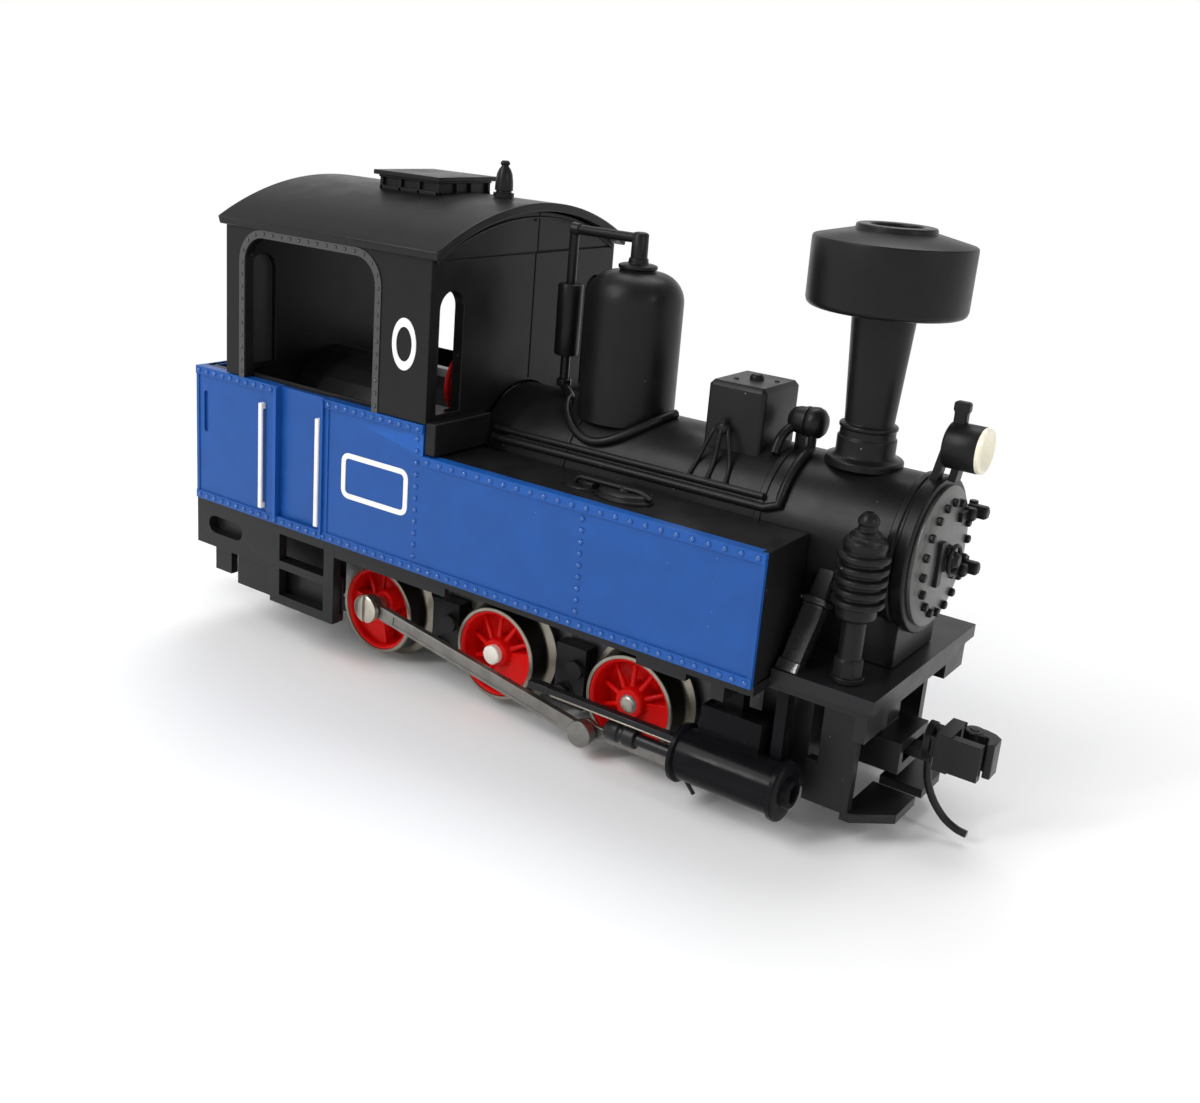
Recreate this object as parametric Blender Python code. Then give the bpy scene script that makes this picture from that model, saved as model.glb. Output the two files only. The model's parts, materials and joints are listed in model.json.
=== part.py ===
"""Small narrow-gauge tank locomotive, a model train in the 1:87 size on 9 mm gauge track.

The origin is on the floor under the middle of the model. +X is forward, +Z is up, and the
driving wheels' flanges rest on z = 0. Sizes in the script are millimetres; MM turns them into metres.
Run it with: blender --background --python part.py
"""

import math

import bmesh
import bpy
from mathutils import Vector

MM = 0.001
GAP = 0.1  # between neighbouring mouldings
RUN = 0.05  # radial clearance of a running fit

# Wheels, axles and gears
AXLE_X = {"rear": -13.35, "middle": -0.95, "front": 11.45}
AXLE_Z = 4.45
AXLE_R = 0.75
TREAD_R = 3.65
FLANGE_R = 4.45
WHEEL_BACK = 3.75
WHEEL_FACE = 6.35
SPOKES = 9
MODULE = 0.4
AXLE_TEETH = 15
IDLER_TEETH = 16
PINION_TEETH = 12
WORM_MODULE = 0.3
WORM_TEETH = 20
WORM_R = 1.3
GEAR_Y = (0.95, 2.0)
WORM_GEAR_Y = (-0.75, 0.75)

# Crank motion
CRANK_R = 1.6
CRANK_DEG = {"right": 44.0, "left": 134.0}
CROSSHEAD_Z = 2.05
ROD_LENGTH = 21.49
ROD_Y = (7.9, 8.4)
STRIP_Y = (7.2, 7.6)
CYLINDER_Y = 8.5
CYLINDER_Z = 3.75
CYLINDER_X = (17.3, 25.5)
CYLINDER_R = 1.8
CAP_R = 2.1

# Body, boiler and frames
TANK_HALF = 11.35
TANK_X = (-29.7, 23.3)
TANK_STEP_X = -4.8
TANK_Z = (11.3, 20.3)
BUNKER_TOP = 22.6
WALL = 0.9
CAB_X = (-26.05, -4.65)
CAB_HALF = 11.25
SILL_Z = 22.8
ROOF_X = (-26.5, -3.8)
ROOF_HALF = 11.75
CROWN_Z = 38.15
ROOF_R = 23.82
ROOF_T = 0.65
BOILER_Z = 19.26
BOILER_R = 5.1
BOILER_X = (-4.55, 29.85)
PLATE_Z = (10.5, 11.2)
DECK_Z = 12.05
DECK_HALF = 8.87
DECK_X = (23.4, 30.53)
SCREW_X = {"rear": -19.7, "front": 17.9}
HANDRAIL_X = (-21.65, -15.3)
HANDRAIL_Z = (12.3, 21.0)
HANDRAIL_OUT = 0.3
HANDWHEEL = (-6.9, -3.9, 24.4)
DOME_X = 5.03
CHIMNEY_X = 24.03

# Couplers
COUPLER_PIVOT = 27.6
COUPLER_Z = (5.25, 5.95)
COUPLER_TIP = 35.85
KNUCKLE_PIN = (34.0, 0.95)

SIDES = {"right": -1, "left": 1}


def material(name, colour, roughness, metallic=0.0):
    made = bpy.data.materials.get(name)
    if made is None:
        made = bpy.data.materials.new(name)
        made.use_nodes = True
        shader = made.node_tree.nodes["Principled BSDF"]
        shader.inputs["Base Color"].default_value = (*colour, 1.0)
        shader.inputs["Roughness"].default_value = roughness
        shader.inputs["Metallic"].default_value = metallic
    return made


def black():
    return material("black_plastic", (0.012, 0.012, 0.014), 0.45)


def blue():
    return material("blue_plastic", (0.022, 0.09, 0.30), 0.42)


def red():
    return material("red_plastic", (0.62, 0.012, 0.01), 0.35)


def nickel():
    return material("nickel", (0.55, 0.53, 0.5), 0.3, 1.0)


def steel():
    return material("steel", (0.42, 0.42, 0.42), 0.35, 1.0)


def brass():
    return material("brass", (0.7, 0.48, 0.18), 0.3, 1.0)


def bronze():
    return material("bronze", (0.55, 0.33, 0.16), 0.35, 1.0)


def zinc():
    return material("die_cast_zinc", (0.25, 0.25, 0.26), 0.5, 1.0)


def lens():
    return material("lens", (0.8, 0.76, 0.6), 0.2)


def clear_scene():
    for obj in list(bpy.data.objects):
        bpy.data.objects.remove(obj)


def solid(name, points, faces, finish, smooth_deg=35.0):
    """An object from points in millimetres, with its faces turned outwards."""
    mesh = bpy.data.meshes.new(name)
    mesh.from_pydata([Vector(p) * MM for p in points], [], faces)
    work = bmesh.new()
    work.from_mesh(mesh)
    bmesh.ops.recalc_face_normals(work, faces=work.faces)
    work.to_mesh(mesh)
    work.free()
    mesh.materials.append(finish)
    mesh.shade_smooth()
    mesh.set_sharp_from_angle(angle=math.radians(smooth_deg))
    obj = bpy.data.objects.new(name, mesh)
    bpy.context.scene.collection.objects.link(obj)
    return obj


def box(name, x, y, z, finish):
    corners = [(x[i], y[j], z[k]) for k in (0, 1) for j in (0, 1) for i in (0, 1)]
    faces = [(0, 1, 3, 2), (4, 6, 7, 5), (0, 4, 5, 1), (2, 3, 7, 6), (0, 2, 6, 4), (1, 5, 7, 3)]
    return solid(name, corners, faces, finish)


def placed(axis, along, u, v):
    """A point from its place along an axis and its two other coordinates, in x, y, z order."""
    return {"x": (along, u, v), "y": (u, along, v), "z": (u, v, along)}[axis]


def prism(name, axis, span, outline, finish):
    """An outline of (u, v) points carried along an axis, where u and v are the other two axes."""
    count = len(outline)
    points = [placed(axis, along, u, v) for along in span for u, v in outline]
    faces = [tuple(range(count)), tuple(range(count, 2 * count))]
    for i in range(count):
        j = (i + 1) % count
        faces.append((i, j, count + j, count + i))
    return solid(name, points, faces, finish)


def ringed_faces(rings, sides):
    """Faces between successive rings of points, with a cap on the first and the last ring."""
    count = rings * sides
    faces = [tuple(range(sides)), tuple(range(count - sides, count))]
    for first in range(0, count - sides, sides):
        for k in range(sides):
            after = (k + 1) % sides
            faces.append((first + k, first + after, first + sides + after, first + sides + k))
    return faces


def turned(name, axis, centre, profile, finish, sides=12):
    """A turned solid, whose profile holds pairs of a place along the axis and a radius."""
    points = []
    for along, radius in profile:
        for k in range(sides):
            angle = math.tau * k / sides
            u = centre[0] + radius * math.cos(angle)
            v = centre[1] + radius * math.sin(angle)
            points.append(placed(axis, along, u, v))
    return solid(name, points, ringed_faces(len(profile), sides), finish)


def rod_between(name, axis, span, centre, radius, finish, sides=12):
    return turned(name, axis, centre, [(span[0], radius), (span[1], radius)], finish, sides)


def swept(name, path, radius, finish, sides=8):
    """A round bar along a list of points."""
    route = [Vector(p) for p in path]
    points = []
    side = None
    for i, here in enumerate(route):
        ahead = (route[min(i + 1, len(route) - 1)] - route[max(i - 1, 0)]).normalized()
        if side is None:
            side = ahead.orthogonal().normalized()
        side = (side - ahead * side.dot(ahead)).normalized()
        other = ahead.cross(side)
        for k in range(sides):
            angle = math.tau * k / sides
            points.append(here + (side * math.cos(angle) + other * math.sin(angle)) * radius)
    return solid(name, points, ringed_faces(len(route), sides), finish)


def arc(centre, radius, start_deg, end_deg, steps):
    """Points on an arc, both ends included."""
    turns = [math.radians(start_deg + (end_deg - start_deg) * k / steps) for k in range(steps + 1)]
    return [(centre[0] + radius * math.cos(a), centre[1] + radius * math.sin(a)) for a in turns]


def combine(target, tools, operation):
    """Joins the tools to the target, or cuts them from it, and removes them."""
    for tool in tools:
        change = target.modifiers.new("shape", "BOOLEAN")
        change.operation = operation
        change.object = tool
        change.solver = "EXACT"
        finished = target.evaluated_get(bpy.context.evaluated_depsgraph_get())
        mesh = bpy.data.meshes.new_from_object(finished)
        target.modifiers.clear()
        target.data = mesh
        mesh.name = target.name
        bpy.data.objects.remove(tool)
    return target


def join(target, *tools):
    return combine(target, tools, "UNION")


def cut(target, *tools):
    return combine(target, tools, "DIFFERENCE")


def on_axis(obj, x, y, z):
    """Moves the object's origin to a point without moving the solid."""
    place = Vector((x, y, z)) * MM
    for vertex in obj.data.vertices:
        vertex.co -= place
    obj.location = place
    return obj


def mirrored(side, span):
    """A span of distances from the centre line, as y values on that side, low to high."""
    return tuple(sorted(SIDES[side] * value for value in span))


# Gears


def gear_outline(teeth, module, centre, phase_deg, thickness=0.72):
    """Straight-flanked teeth, thinner than half a pitch so that they run with play."""
    pitch_r = teeth * module / 2
    root_r, tip_r = pitch_r - 1.15 * module, pitch_r + 0.85 * module
    half = math.pi / (2 * teeth) * thickness
    outline = []
    for k in range(teeth):
        middle = math.radians(phase_deg) + math.tau * k / teeth
        for radius, spread in ((root_r, -1.6), (tip_r, -0.55), (tip_r, 0.55), (root_r, 1.6)):
            angle = middle + half * spread
            outline.append((centre[0] + radius * math.cos(angle), centre[1] + radius * math.sin(angle)))
    return outline


def meshing_phase(phase_deg, teeth, other_teeth, direction_deg):
    """The phase of a gear that meshes with another, which lies in that direction from it."""
    pitch = 360 / teeth
    lead = ((phase_deg - direction_deg) / pitch) % 1.0
    return direction_deg + 180 - (lead + 0.5) * 360 / other_teeth


def gear(name, teeth, module, x, z, y, phase_deg, finish):
    outline = gear_outline(teeth, module, (x, z), phase_deg)
    return prism(name, "y", y, outline, finish)


IDLER_X = {
    "rear": (AXLE_X["rear"] + AXLE_X["middle"]) / 2,
    "front": (AXLE_X["middle"] + AXLE_X["front"]) / 2,
}
WORM_GEAR_Z = AXLE_Z + MODULE * (AXLE_TEETH + PINION_TEETH) / 2
WORM_Z = WORM_GEAR_Z + WORM_MODULE * WORM_TEETH / 2 + WORM_R


def gear_train():
    middle = AXLE_X["middle"]
    phases = {"middle": 0.0}
    idler_phase = {
        "front": meshing_phase(phases["middle"], AXLE_TEETH, IDLER_TEETH, 0.0),
        "rear": meshing_phase(phases["middle"], AXLE_TEETH, IDLER_TEETH, 180.0),
    }
    phases["front"] = meshing_phase(idler_phase["front"], IDLER_TEETH, AXLE_TEETH, 0.0)
    phases["rear"] = meshing_phase(idler_phase["rear"], IDLER_TEETH, AXLE_TEETH, 180.0)
    for place, x in AXLE_X.items():
        made = gear("axle_gear_" + place, AXLE_TEETH, MODULE, x, AXLE_Z, GEAR_Y, phases[place], brass())
        cut(made, rod_between("bore", "y", (0, 3), (x, AXLE_Z), AXLE_R + 0.02, brass(), 10))
        on_axis(made, x, 0, AXLE_Z)
    for place, x in IDLER_X.items():
        phase = idler_phase[place]
        made = gear("idler_gear_" + place, IDLER_TEETH, MODULE, x, AXLE_Z, GEAR_Y, phase, black())
        join(made, rod_between("stub", "y", (-2.4, 3.1), (x, AXLE_Z), 0.7, black(), 8))
        on_axis(made, x, 0, AXLE_Z)
    pinion_phase = meshing_phase(phases["middle"], AXLE_TEETH, PINION_TEETH, 90.0)
    made = gear("worm_wheel", WORM_TEETH, WORM_MODULE, middle, WORM_GEAR_Z, WORM_GEAR_Y, 90.0, black())
    pinion_y = (WORM_GEAR_Y[1] - 0.2, GEAR_Y[1])
    join(
        made,
        gear("pinion", PINION_TEETH, MODULE, middle, WORM_GEAR_Z, pinion_y, pinion_phase, black()),
        rod_between("stub", "y", (-2.4, 3.1), (middle, WORM_GEAR_Z), 0.7, black(), 8),
    )
    on_axis(made, middle, 0, WORM_GEAR_Z)


def worm():
    """A single-start right-handed thread, whose gap faces the worm wheel's top tooth."""
    lead = math.pi * WORM_MODULE
    turns, sides = 8, 8
    root_r, tip_r = WORM_R - 1.15 * WORM_MODULE, WORM_R + 0.8 * WORM_MODULE
    # One period, from the middle of a gap: (share of the lead, radius)
    profile = ((0.30, root_r), (0.43, tip_r), (0.57, tip_r), (0.70, root_r))
    quarter_turn_down = 0.75
    start = AXLE_X["middle"] - (turns / 2) * lead - quarter_turn_down * lead
    rails = [(start + (k + share) * lead, radius) for k in range(turns) for share, radius in profile]
    points = []
    for along, radius in rails:
        for j in range(sides):
            angle = math.tau * j / sides
            x = along + lead * j / sides
            points.append((x, radius * math.cos(angle), WORM_Z + radius * math.sin(angle)))

    def at(i, j):
        return (i + len(profile)) * sides if j == sides else i * sides + j

    last = len(rails) - len(profile) - 1
    faces = []
    for i in range(last):
        faces += [(at(i, j), at(i + 1, j), at(i + 1, j + 1), at(i, j + 1)) for j in range(sides)]
    for end in (0, last):
        rim = [at(end, j) for j in range(sides + 1)]
        rim += [at(end + back, 0) for back in range(len(profile) - 1, 0, -1)]
        hub = len(points)
        points.append((rails[end][0] + lead / 2, 0, WORM_Z))
        faces += [(rim[k], rim[(k + 1) % len(rim)], hub) for k in range(len(rim))]
    made = solid("worm", points, faces, brass())
    middle, reach = AXLE_X["middle"], 2.6
    slab = box("slab", (middle - reach, middle + reach), (-3, 3), (WORM_Z - 3, WORM_Z + 3), brass())
    combine(made, [slab], "INTERSECT")
    cut(made, rod_between("bore", "x", (middle - 4, middle + 4), (0, WORM_Z), 0.53, brass(), 12))
    on_axis(made, middle, 0, WORM_Z)


# Motor and chassis


def motor():
    can_x, can_r, wall = (-24.9, -9.2), 5.0, 0.5
    profile = [(can_x[0], can_r), (can_x[1], can_r), (can_x[1], 1.6), (can_x[1] + 0.8, 1.6)]
    made = turned("motor_can", "x", (0, WORM_Z), profile, nickel(), 16)
    inside = (can_x[0] + wall, can_x[1] - wall)
    cut(
        made,
        rod_between("hollow", "x", inside, (0, WORM_Z), can_r - wall, nickel(), 16),
        rod_between("bearing", "x", (inside[1] - 1, can_x[1] + 2), (0, WORM_Z), 0.5 + RUN, nickel(), 10),
    )
    shaft = [(-23.5, 0.5), (-21.5, 0.5), (-21.5, 3.7), (-12.0, 3.7), (-12.0, 0.5), (4.4, 0.5)]
    on_axis(turned("armature", "x", (0, WORM_Z), shaft, steel(), 10), AXLE_X["middle"], 0, WORM_Z)


def chassis():
    made = box("chassis_block", (-22, 20.5), (-3.2, 3.2), (2.7, 9.05), zinc())
    join(made, box("bearing_post", (2.7, 5.6), (-3.2, 3.2), (8.5, 13.6), zinc()))
    join(made, box("bearing_top", (2.7, 5.6), (-1.5, 1.5), (13.4, 15.4), zinc()))
    trough = box("trough", (-17.3, 15.4), (-0.95, 2.25), (0, 9.4), zinc())
    top = box("top_of_trough", (-5.0, 2.6), (-0.95, 2.25), (8, 14), zinc())
    cut(made, trough, top)
    for x in AXLE_X.values():
        slot = rod_between("slot", "y", (-4, 4), (x, AXLE_Z), AXLE_R + RUN, zinc(), 12)
        mouth = box("mouth", (x - AXLE_R - RUN, x + AXLE_R + RUN), (-4, 4), (0, AXLE_Z), zinc())
        cut(made, slot, mouth)
    for x, z in [(x, AXLE_Z) for x in IDLER_X.values()] + [(AXLE_X["middle"], WORM_GEAR_Z)]:
        cut(made, rod_between("pin_bore", "y", (-2.6, 4), (x, z), 0.7 + RUN, zinc(), 8))
    cut(made, rod_between("shaft_bore", "x", (2, 7), (0, WORM_Z), 0.5 + RUN, zinc(), 10))
    for x in SCREW_X.values():
        cut(made, rod_between("thread", "z", (0, 6.4), (x, 0), 0.6, zinc(), 8))


def keeper_plate():
    """The plate under the axles, with a brake hanger between each pair of wheels."""
    base = (1.6, 2.6)
    made = box("keeper_plate", (-21.8, 20.3), (-3.5, 3.5), base, black())
    cut(made, box("gear_slot", (-17.3, 15.4), (-0.95, 2.25), (0, 4), black()))
    for side in SIDES:
        for place, x in IDLER_X.items():
            join(made, box("hanger", (x - 1.35, x + 1.35), mirrored(side, (3.3, 4.9)), (1.7, 6.6), black()))
            cut(made, box("relief", (x - 2, x + 2), mirrored(side, (3.0, 3.6)), (base[1] + 0.4, 7), black()))
            for dx, z in ((0.6, 4.95), (-0.5, 2.7)):
                across = mirrored(side, (4.7, 5.4))
                join(made, rod_between("boss", "y", across, (x + dx, z), 0.75, black(), 8))
    for x in SCREW_X.values():
        cut(made, rod_between("hole", "z", (0, 4), (x, 0), 0.6, black(), 8))
        cut(made, rod_between("countersink", "z", (0, 2.0), (x, 0), 1.2, black(), 10))


def keeper_screws():
    for place, x in SCREW_X.items():
        profile = [(1.3, 0.9), (1.5, 1.1), (1.95, 1.1), (1.95, 0.5), (6.2, 0.5)]
        made = turned("keeper_screw_" + place, "z", (x, 0), profile, steel(), 8)
        cut(made, box("slot", (x - 2, x + 2), (-0.15, 0.15), (1, 1.6), steel()))


def pickup_strips():
    for side in SIDES:
        made = box("pickup_strip_" + side, (-16.5, 14.6), mirrored(side, (3.3, 3.5)), (8.0, 8.7), bronze())
        for x in AXLE_X.values():
            finger = box("finger", (x - 0.5, x + 0.5), mirrored(side, (3.32, 3.48)), (6.3, 8.2), bronze())
            join(made, finger)


# Wheels and rods


def spoke_gaps(x, side, has_crank):
    """The wedge-shaped holes between the spokes, left out where the crank boss covers them."""
    inner_r, outer_r, spoke_half = 1.5, 2.75, 0.22
    first, last = math.degrees(spoke_half / inner_r), math.degrees(spoke_half / outer_r)
    step = 360 / SPOKES
    gaps = []
    for k in range(SPOKES):
        start = CRANK_DEG[side] + step * (k + 0.5)
        if has_crank and k in (0, SPOKES - 1):
            continue
        centre = (x, AXLE_Z)
        outline = arc(centre, outer_r, start + last, start + step - last, 1)
        outline += arc(centre, inner_r, start + step - first, start + first, 1)
        gaps.append(prism("gap", "y", (-8, 8), outline, red()))
    return gaps


def wheel(place, side):
    x, sign = AXLE_X[place], SIDES[side]
    profile = [
        (WHEEL_BACK, FLANGE_R - 0.2),
        (WHEEL_BACK + 0.35, FLANGE_R),
        (WHEEL_BACK + 0.6, TREAD_R + 0.15),
        (WHEEL_FACE, TREAD_R),
        (WHEEL_FACE, 3.05),
        (WHEEL_FACE - 0.6, 2.95),
        (WHEEL_FACE - 0.5, 1.2),
    ]
    profile = [(sign * along, radius) for along, radius in profile]
    made = turned("wheel_{}_{}".format(place, side), "y", (x, AXLE_Z), profile, red(), 20)
    if place == "rear":
        boss = mirrored(side, (WHEEL_BACK + 1, WHEEL_FACE + 0.5))
        join(made, rod_between("boss", "y", boss, crankpin(side), 0.95, red(), 10))
        cut(made, rod_between("thread", "y", mirrored(side, (5.4, 8)), crankpin(side), 0.5, red(), 8))
    cut(made, rod_between("bore", "y", (-8, 8), (x, AXLE_Z), AXLE_R + 0.02, red(), 10))
    cut(made, *spoke_gaps(x, side, place == "rear"))
    on_axis(made, x, 0, AXLE_Z)


def wheelsets():
    for place, x in AXLE_X.items():
        end = 6.75 if place == "middle" else 6.4
        profile = [(-end, 0.6), (-end + 0.15, AXLE_R), (end - 0.15, AXLE_R), (end, 0.6)]
        on_axis(turned("axle_" + place, "y", (x, AXLE_Z), profile, steel(), 10), x, 0, AXLE_Z)
        for side in SIDES:
            wheel(place, side)


def crankpin(side):
    angle = math.radians(CRANK_DEG[side])
    return AXLE_X["rear"] + CRANK_R * math.cos(angle), AXLE_Z + CRANK_R * math.sin(angle)


def crosshead_pin(side):
    pin_x, pin_z = crankpin(side)
    drop = pin_z - CROSSHEAD_Z
    return pin_x + math.sqrt(ROD_LENGTH**2 - drop**2), CROSSHEAD_Z


def crankpin_screws():
    for side, sign in SIDES.items():
        x, z = crankpin(side)
        profile = [(5.6, 0.45), (7.0, 0.45), (7.0, 0.6), (8.5, 0.6), (8.5, 1.15), (9.1, 1.1)]
        profile = [(sign * along, radius) for along, radius in profile]
        made = turned("crankpin_screw_" + side, "y", (x, z), profile, steel(), 10)
        cut(made, box("slot", (x - 0.17, x + 0.17), mirrored(side, (8.85, 9.5)), (z - 2, z + 2), steel()))
        on_axis(made, AXLE_X["rear"], 0, AXLE_Z)


def main_rods():
    """A flat tapered bar with an eye at the crank and a large rivet head at its front end."""
    for side in SIDES:
        (rear_x, rear_z), (front_x, front_z) = crankpin(side), crosshead_pin(side)
        span = mirrored(side, ROD_Y)
        along = math.degrees(math.atan2(front_z - rear_z, front_x - rear_x))
        outline = arc((rear_x, rear_z), 1.0, along + 35, along + 325, 10)
        outline += [bar_edge(side, 0.06, -0.42), bar_edge(side, 0.95, -0.55)]
        outline += arc((front_x, front_z), 0.95, along - 140, along + 140, 8)
        outline += [bar_edge(side, 0.95, 0.55), bar_edge(side, 0.06, 0.42)]
        made = prism("main_rod_" + side, "y", span, outline, steel())
        head = mirrored(side, (ROD_Y[0] + 0.1, ROD_Y[1] + 0.45))
        join(made, rod_between("head", "y", head, (front_x, front_z), 1.15, steel()))
        cut(made, rod_between("eye", "y", (-10, 10), (rear_x, rear_z), 0.6 + RUN, steel()))
        on_axis(made, rear_x, 0, rear_z)


def bar_edge(side, share, offset):
    """A point beside the line from crankpin to crosshead pin."""
    rear, front = Vector(crankpin(side)), Vector(crosshead_pin(side))
    line = (front - rear).normalized()
    place = rear.lerp(front, share) + Vector((-line.y, line.x)) * offset
    return (place.x, place.y)


def crossheads():
    for side in SIDES:
        x, z = crosshead_pin(side)
        outline = arc((x, z), 0.8, 40, 320, 8)
        front = 23.2
        outline += [(x + 1.2, z - 0.5), (front, z - 0.5), (front, z + 0.5), (x + 1.2, z + 0.5)]
        on_axis(prism("crosshead_" + side, "y", mirrored(side, STRIP_Y), outline, steel()), x, 0, z)


def cylinders():
    """Each cylinder with its valve chest, its fixings to the plate, and the bars behind it."""
    rear, front = CYLINDER_X
    cap_thickness = 0.5
    bar_rear, gland_rear = 4.35, 11.2
    for side, sign in SIDES.items():
        centre = (sign * CYLINDER_Y, CYLINDER_Z)
        profile = [
            (rear, CAP_R),
            (rear + cap_thickness, CAP_R),
            (rear + cap_thickness, CYLINDER_R),
            (front - cap_thickness, CYLINDER_R),
            (front - cap_thickness, CAP_R),
            (front, CAP_R - 0.1),
            (front, 1.05),
            (front + 0.45, 0.95),
        ]
        made = turned("cylinder_" + side, "x", centre, profile, black(), 14)
        below = CYLINDER_Z - CYLINDER_R
        fin = [(front - 3.2, below + 0.6), (front - 0.6, below - 0.2), (front - 0.2, below + 1.0)]
        gland = (centre[0], CYLINDER_Z - 0.4)
        slide_bar = mirrored(side, (8.25, 8.95))
        join(
            made,
            box("chest", (rear + 1.2, rear + 5.7), mirrored(side, (6.3, 8.3)), (CYLINDER_Z, 7.6), black()),
            box("post", (23.6, 24.4), mirrored(side, (6.8, 7.8)), (CYLINDER_Z, 10.3), black()),
            box("passage", (rear + 1.8, rear + 3.8), mirrored(side, (6.5, 7.5)), (7.4, 10.4), black()),
            prism("fin", "y", mirrored(side, (8.2, 8.8)), fin, black()),
            box("slide_bar", (bar_rear, rear + 0.3), slide_bar, (4.3, 4.85), black()),
            rod_between("gland", "x", (gland_rear, rear + 0.3), gland, 0.5, black(), 8),
            rod_between("gland_nut", "x", (gland_rear + 0.1, 13.9), gland, 0.7, black(), 6),
        )
        cut(
            made,
            box("strip_way", (rear - 1, front + 1), mirrored(side, (7.0, 7.8)), (1.2, 2.75), black()),
            rod_between("front_recess", "x", (front, front + 1), centre, 0.55, black(), 10),
        )


# Running plate with its frames and steps


def rear_steps(plate, side):
    """The step frame below the cab door, with two treads and two openings."""
    x, depth, z = (-21.45, -14.15), (9.35, 10.6), (4.1, 10.7)
    join(plate, box("step_frame", x, mirrored(side, (9.8, depth[1])), z, black()))
    for low, high in ((4.9, 7.2), (7.9, 10.2)):
        cut(plate, box("opening", (x[0] + 1.1, x[1] - 1.1), mirrored(side, (9, 12)), (low, high), black()))
    for low in (4.1, 7.25):
        tread = mirrored(side, (depth[0], depth[1] - 0.05))
        join(plate, box("tread", (x[0] + 0.05, x[1] - 0.05), tread, (low, low + 0.6), black()))


def rear_frame(plate, side):
    """The side plate under the bunker, with its long slot, and the blocks and frame behind it."""
    join(plate, box("bunker_valance", (-30.5, -21.3), mirrored(side, (9.75, 10.6)), (7.0, 10.7), black()))
    slot = arc((-25.6, 9.0), 0.75, -90, 90, 5) + arc((-28.3, 9.0), 0.75, 90, 270, 5)
    cut(plate, prism("slot", "y", mirrored(side, (9, 12)), slot, black()))
    join(
        plate,
        box("frame", (-29.5, -17.95), mirrored(side, (5.3, 6.1)), (4.3, 10.7), black()),
        box("step_back", (-26.2, -21.4), mirrored(side, (9.2, 9.9)), (4.1, 7.1), black()),
        box("hanger", (-29.0, -27.0), mirrored(side, (9.2, 9.9)), (4.7, 7.1), black()),
    )


def front_frame(plate, side):
    """The hanging frame beside the coupler, with its step and the tabs under the tank."""
    outline = [(25.4, 2.3), (28.7, 2.3), (28.7, 10.8), (26.2, 10.8), (26.2, 5.3), (25.4, 5.3)]
    join(plate, prism("front_frame", "y", mirrored(side, (5.2, 6.0)), outline, black()))
    sign = SIDES[side]
    tread = [(28.2, 5.95), (28.2, 0.6), (31.3, 0.6), (31.3, 3.9), (28.9, 5.95)]
    tread = [(x, sign * y) for x, y in tread]
    join(plate, prism("step", "z", (1.8, 2.45), tread, black()))
    join(plate, box("tank_tab", (14.3, 18.2), mirrored(side, (9.6, 10.5)), (9.9, 10.7), black()))
    join(plate, box("hanger", (20.1, 21.1), mirrored(side, (8.6, 10.5)), (9.4, 10.7), black()))


def running_plate():
    made = box("running_plate", (-30.5, TANK_X[1] - 0.1), (-10.6, 10.6), PLATE_Z, black())
    join(made, box("deck", DECK_X, (-DECK_HALF, DECK_HALF), (PLATE_Z[1] - 0.1, DECK_Z), black()))
    join(made, box("under_deck", (DECK_X[0] - 1, DECK_X[1] - 0.4), (-8.5, 8.5), PLATE_Z, black()))
    join(made, box("front_beam", (29.3, 30.1), (-8.5, 8.5), (8.9, 11.0), black()))
    join(made, box("cross_member", (21.6, 25.3), (-5.6, 5.6), (2.9, 10.7), black()))
    join(made, box("rear_beam", (-30.45, -29.6), (-10.55, 10.55), (7.0, 10.9), black()))
    cut(made, box("mechanism_room", (-25.6, 20.8), (-5.2, 5.2), (10, 12), black()))
    cut(made, box("beam_gap", (28, 32), (-5.0, 5.0), (7, 10.0), black()))
    cut(made, box("rear_gap", (-32, -28), (-3.4, 3.4), (6, 9.2), black()))
    for side in SIDES:
        join(made, box("valance", (-14.2, -2.6), mirrored(side, (10.1, 10.58)), (9.8, 10.7), black()))
        rear_steps(made, side)
        rear_frame(made, side)
        front_frame(made, side)


# Body mouldings


def side_sheet(lower):
    """The side sheet's outline in x and z: the tank's height in front, the bunker's behind."""
    rear, front = TANK_X
    return [
        (rear, lower),
        (front, lower),
        (front, TANK_Z[1]),
        (TANK_STEP_X, TANK_Z[1]),
        (TANK_STEP_X, BUNKER_TOP),
        (rear, BUNKER_TOP),
    ]


def filler_lid(tank, side):
    """The oval water filler lid on the tank top, with its hinge and lever."""
    x, y, top = 9.9, SIDES[side] * 8.3, TANK_Z[1]
    lid = turned("lid", "z", (0, 0), [(top - 0.2, 1.0), (top + 0.35, 1.0), (top + 0.5, 0.85)], black(), 20)
    for vertex in lid.data.vertices:
        vertex.co.x = vertex.co.x * 2.1 + x * MM
        vertex.co.y = vertex.co.y * 1.3 + y * MM
    hinge = box("hinge", (x - 3.4, x - 1.6), (y - 0.5, y + 0.5), (top - 0.2, top + 0.45), black())
    lever = box("lever", (x - 2.2, x + 3.2), (y - 0.16, y + 0.16), (top + 0.3, top + 0.75), black())
    join(tank, lid, hinge, lever)


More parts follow.
